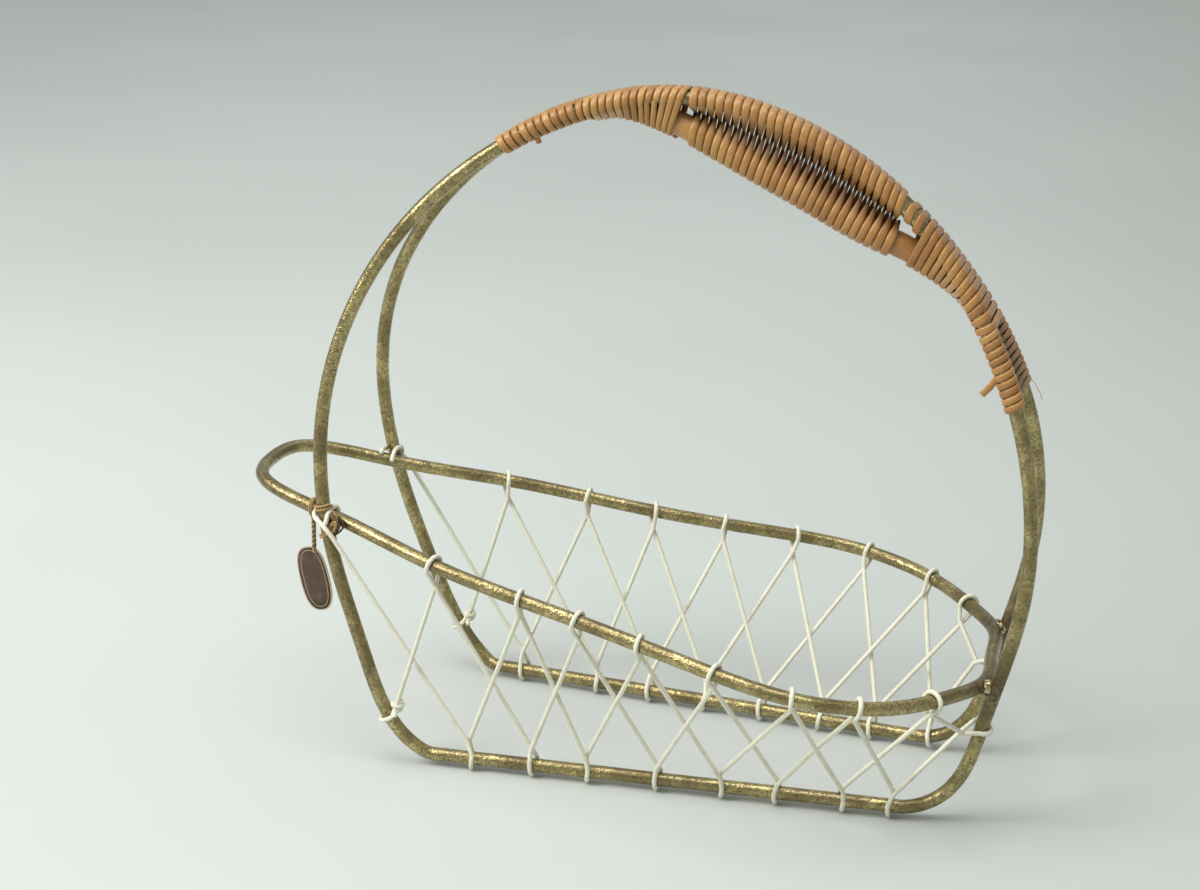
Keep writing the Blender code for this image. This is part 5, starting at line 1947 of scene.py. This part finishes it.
    def build_string(self, twine: bpy.types.Material) -> None:
        """The string: a loop over the rim whose two legs twist down to the tag's hole.

        A leg's point lies off the string's middle by a radius at an angle that grows with the
        depth, and the other leg lies opposite. The legs end square to the tag's face, where
        half a circle takes the string through the hole. A second turn lies beside the loop.

        Args:
            twine: Its finish.
        """
        pivot, level = self.pivot, self.level
        outward = unit(np.cross(UP, level))
        radius = self.string / 2
        reach = self.wires.tube / 2 * self.loop_play + radius
        angles = np.linspace(-self.loop_past, math.pi + self.loop_past, self.loop_points)[:, None]
        drift = np.linspace(-self.loop_drift, self.loop_drift, self.loop_points)[:, None] * radius
        loop = (outward * np.cos(angles) + UP * np.sin(angles)) * reach + level * drift
        share = np.linspace(0.0, 1.0, self.leg_points)[:, None]
        turned = math.atan2(float(-ACROSS @ level), float(-ACROSS @ outward))
        angle = (2 * math.pi * self.leg_turns + turned) * share
        leg = (outward * np.cos(angle) + level * np.sin(angle)) * radius * self.leg_spread
        top, bottom = -self.neck * reach, -self.string_length + self.eye_rise
        height = UP * (top + (bottom - top) * share)
        bend = np.linspace(0.0, math.pi, 16)[1:-1, None]
        eye_reach = self.tag_thickness / 2 + radius * self.eye_spread
        eye = (-unit(leg[-1]) * np.cos(bend) * eye_reach
               - UP * (self.string_length + self.eye_dip * np.sin(bend)))
        route = np.vstack([loop, -leg + height, eye, (leg + height)[::-1], loop[:1]]) + pivot
        again = loop * self.second_size + level * radius * self.second_place + pivot
        line, second = (Line(points).softened(self.string_softness, self.spacing)
                        for points in (route, again))
        # From 0.62 of the route on, up the second leg and round to the loop's start, the string is
        # made darker, and the second loop a little.
        upward = np.clip((line.run / line.length - 0.62) * 40, 0.0, 1.0) * 0.9
        skins = self.plied(line, radius, level, self.string_lay, upward)
        skins += self.plied(second, radius, level, self.string_lay,
                            np.full(len(second.points), 0.3))
        made_piece("tag_cord", skins, twine, "string", ("tag_string",))

    def outline(self, inset: float) -> np.ndarray:
        """The tag's oval about its middle, drawn in by an inset.

        A point is the half width times the cosine and the half height times the sine, each
        to a power that squares the shoulders, turned by the tilt.

        Args:
            inset: Distance from the edge.

        Returns:
            Rows of across and up.
        """
        angles = np.linspace(0.0, 2 * math.pi, self.tag_points, endpoint=False)
        circle = np.stack([np.cos(angles), np.sin(angles)], axis=1)
        shares = np.sign(circle) * np.abs(circle)**self.tag_roundness
        flat = shares * np.array((self.tag_width / 2 - inset, self.tag_height / 2 - inset))
        cos, sin = math.cos(self.tag_tilt), math.sin(self.tag_tilt)
        return flat @ np.array(((cos, sin), (-sin, cos)))

    def ring(self, rows: list[np.ndarray], depths: list[float], hole: np.ndarray) -> Skin:
        """A closed band through outlines at depths towards the viewer.

        Args:
            rows: Outlines, each across and up.
            depths: Distance of each towards -Y, in halves of the tag's thickness.
            hole: The hole's place, which becomes the origin.

        Returns:
            The band as a ring-shaped skin.
        """
        origin = self.pivot - UP * self.string_length
        thick = self.tag_thickness / 2
        grid = np.stack([origin + np.column_stack([row[:, 0] - hole[0],
                                                   np.full(len(row), -thick * depth),
                                                   row[:, 1] - hole[1]])
                         for row, depth in zip(rows, depths)], axis=1)
        length = np.linalg.norm(np.diff(rows[-1], axis=0), axis=1)
        return Skin(grid, np.concatenate(([0.0], np.cumsum(length))), closed=True)

    def build_tag(self, face: bpy.types.Material, pale: bpy.types.Material) -> None:
        """The oval card with its hole, pale border and a thin inner line.

        Args:
            face: Finish of the dark card.
            pale: Finish of border and line.
        """
        edge, inner = self.outline(0.0), self.outline(self.border)
        above = edge[edge[:, 1] > 0]
        top = float(above[np.abs(above[:, 0]).argmin(), 1])
        hole = np.array((0.0, top - self.hole_inset))
        eye = hole + unit(inner - hole) * self.hole_radius
        steps = [eye + (inner - eye) * share for share in (0.25, 0.5, 0.75)]
        card = self.ring([eye, *steps, inner, inner, *steps[::-1], eye], [1.0] * 5 + [-1.0] * 5,
                         hole)
        made_piece("tag_face", [card], face, "tag", ("swing_tag",))
        near_edge = self.outline(self.border * 0.25)
        band = self.ring([inner, inner, near_edge, edge, edge, near_edge, inner],
                         [0.0, 1.12, 1.12, 0.7, -0.7, -1.12, -1.12], hole)
        line_out, line_in = (self.outline(inset) for inset in self.line_inset)
        line = self.ring([line_in, line_in, line_out, line_out], [0.8, 1.10, 1.10, 0.8], hole)
        made_piece("tag_border", [band, line], pale, "tag", ())


# The studio

@dataclass(frozen=True)
class Lamp:
    """A square soft lamp that points at a place."""

    name: str
    place: tuple
    aim: tuple
    size: float
    power: float
    colour: Colour

    def build(self) -> None:
        """The lamp, turned to its aim."""
        data = bpy.data.lights.new(self.name, "AREA")
        data.size, data.energy, data.color = self.size, self.power, self.colour
        lamp = bpy.data.objects.new(self.name, data)
        turn = (Vector(self.aim) - Vector(self.place)).to_track_quat("-Z", "Y")
        lamp.matrix_world = Matrix.Translation(self.place) @ turn.to_matrix().to_4x4()
        bpy.context.scene.collection.objects.link(lamp)


@dataclass
class Studio:
    """A plain pale floor, soft lamps, an even sky and the camera.

    Attributes:
        place, target, focal_pixels, roll: The camera as it stood for the photograph, which is
            frame_width pixels wide.
        floor_shade, shade_from, shade_to: Tone of the floor's darker right side, and where
            along X it sets in and is full.
        sky_low, sky_rise, sky_left: The sky's light at the horizon, how much it gains upward,
            and how much more it has to the left.
        background: The sky's strength as it is seen.
    """

    place: tuple = (0.14702, -0.64938, 0.34403)
    target: tuple = (-0.013685, 0.0, 0.113138)
    focal_pixels: float = 2021.36
    roll: float = -0.02813
    frame_width: float = 1200.0
    sensor: float = 36.0
    near_clip: float = 0.01
    far_clip: float = 50.0
    floor_size: float = 6.0
    floor_tones: tuple[Colour, Colour] = ((0.58, 0.62, 0.595), (0.63, 0.665, 0.64))
    floor_shade: Colour = (0.34, 0.35, 0.32)
    shade_from: float = -0.25
    shade_to: float = 0.50
    shade_weight: float = 0.40
    lamps: tuple[Lamp, ...] = (
        Lamp("key", (-1.15, -0.75, 1.20), (0.0, 0.0, 0.10), 0.8, 20.0, (1.0, 0.985, 0.955)),
        Lamp("top", (-0.10, -0.30, 1.60), (0.0, 0.0, 0.10), 0.9, 10.0, (1.0, 1.0, 0.99)),
        Lamp("backdrop", (0.3, 2.1, 1.7), (0.3, 2.3, 0.0), 1.8, 6.0, (1.0, 1.0, 1.0)),
    )
    sky_colour: Colour = (0.90, 0.93, 0.91)
    sky_low: float = 0.10
    sky_rise: float = 0.62
    sky_left: float = 0.08
    background: float = 0.46

    def build_camera(self) -> None:
        """The camera at the photograph's angle: forward to the target, then rolled."""
        place, target = np.array(self.place), np.array(self.target)
        forward = unit(target - place)
        right = unit(np.cross(forward, UP))
        down = np.cross(forward, right)
        turned_right = math.cos(self.roll) * right + math.sin(self.roll) * down
        turned_down = -math.sin(self.roll) * right + math.cos(self.roll) * down
        data = bpy.data.cameras.new("camera")
        data.sensor_width = self.sensor
        data.lens = self.focal_pixels * self.sensor / self.frame_width
        data.clip_start, data.clip_end = self.near_clip, self.far_clip
        camera = bpy.data.objects.new("camera", data)
        turn = Matrix((turned_right, -turned_down, -forward)).transposed().to_4x4()
        camera.matrix_world = Matrix.Translation(Vector(place)) @ turn
        bpy.context.scene.collection.objects.link(camera)
        bpy.context.scene.camera = camera

    def build_floor(self) -> None:
        """A wide pale floor, darker to the right, which isn't part of the object."""
        book = Finishbook("floor_paper")
        low, high = self.floor_tones
        stops = [(0.3, opaque(low)), (0.7, opaque(high))]
        colour = book.ramp(book.cloud(book.places(), 2.2, 2.0, 0.5), stops)
        parts = book.node("ShaderNodeSeparateXYZ", {}, {0: book.places()})
        right = book.window(Signal(book, parts.outputs["X"]), self.shade_from, self.shade_to)
        # Painted shade: the floor darkens towards the right.
        colour = book.blend(right * self.shade_weight, colour, opaque(self.floor_shade))
        mesh = bpy.data.meshes.new("floor")
        size = self.floor_size
        mesh.from_pydata([(-size, -size, 0), (size, -size, 0), (size, size, 0), (-size, size, 0)],
                         [], [(0, 1, 2, 3)])
        mesh.materials.append(book.shaded(Base_Color=colour, Roughness=0.85))
        floor = bpy.data.objects.new("floor", mesh)
        bpy.context.scene.collection.objects.link(floor)

    def build_sky(self) -> None:
        """The world: light that grows upward and to the left, and an even pale background.

        Camera, glossy and transmission rays see the background, and all others the light.
        """
        world = bpy.data.worlds.new("sky")
        world.use_nodes = True
        book = Nodebook(world.node_tree)
        way = book.node("ShaderNodeTexCoord", {}, {}).outputs["Generated"]
        parts = book.node("ShaderNodeSeparateXYZ", {}, {0: way}).outputs
        height, right = Signal(book, parts["Z"]), Signal(book, parts["X"])
        light = self.sky_low + book.window(height, 0.0, 1.0) * self.sky_rise - right * self.sky_left
        rays = book.node("ShaderNodeLightPath", {}, {}).outputs
        camera, glossy, through = (Signal(book, rays[f"Is {kind} Ray"])
                                   for kind in ("Camera", "Glossy", "Transmission"))
        seen = camera.larger(glossy).larger(through)
        sockets = {"Color": opaque(self.sky_colour),
                   "Strength": light * (1.0 - seen) + seen * self.background}
        background = book.node("ShaderNodeBackground", {}, sockets)
        output = book.node("ShaderNodeOutputWorld", {}, {0: background.outputs[0]})
        output.is_active_output = True
        bpy.context.scene.world = world
        bpy.context.scene.view_settings.view_transform = "Standard"

    def build(self) -> None:
        """Floor, lamps and sky."""
        self.build_floor()
        for lamp in self.lamps:
            lamp.build()
        self.build_sky()


def main() -> None:
    """Builds the basket's sub-assemblies in order, then the studio."""
    logging.basicConfig(level=logging.INFO, format="%(name)s: %(message)s")
    studio = Studio()
    studio.build_camera()
    brass, cane, braze = AgedBrass().material(), SplitCane().material(), Braze().material()
    cream = WaxedCord("cream_cord", light=(0.88, 0.86, 0.70), soiled_and_shaded=(0.62, 0.56, 0.38),
                      strength=0.5).material()
    # The twine's darkest colour is both its soil and the painted shade of its tangle.
    twine = WaxedCord("twine", light=(0.53, 0.34, 0.13), soiled_and_shaded=(0.085, 0.045, 0.018),
                      strength=0.8).material()
    face = TagCard("tag_face", base=(0.085, 0.050, 0.032), rubbed=(0.17, 0.115, 0.075)).material()
    pale = TagCard("tag_border", base=(0.66, 0.53, 0.36), rubbed=(0.44, 0.32, 0.19)).material()
    wires = WireFrame()
    wires.build_hoops(brass)
    wires.build_rim(brass)
    wires.build_beads(braze)
    Lacing(wires).build(cream)
    grip = Grip(wires)
    grip.build_core(cane)
    grip.build_windings(cane)
    grip.build_ends(cane)
    ties = Ties(wires)
    ties.build_tie(twine)
    ties.build_string(twine)
    ties.build_tag(face, pale)
    studio.build()


if __name__ == "__main__":
    main()
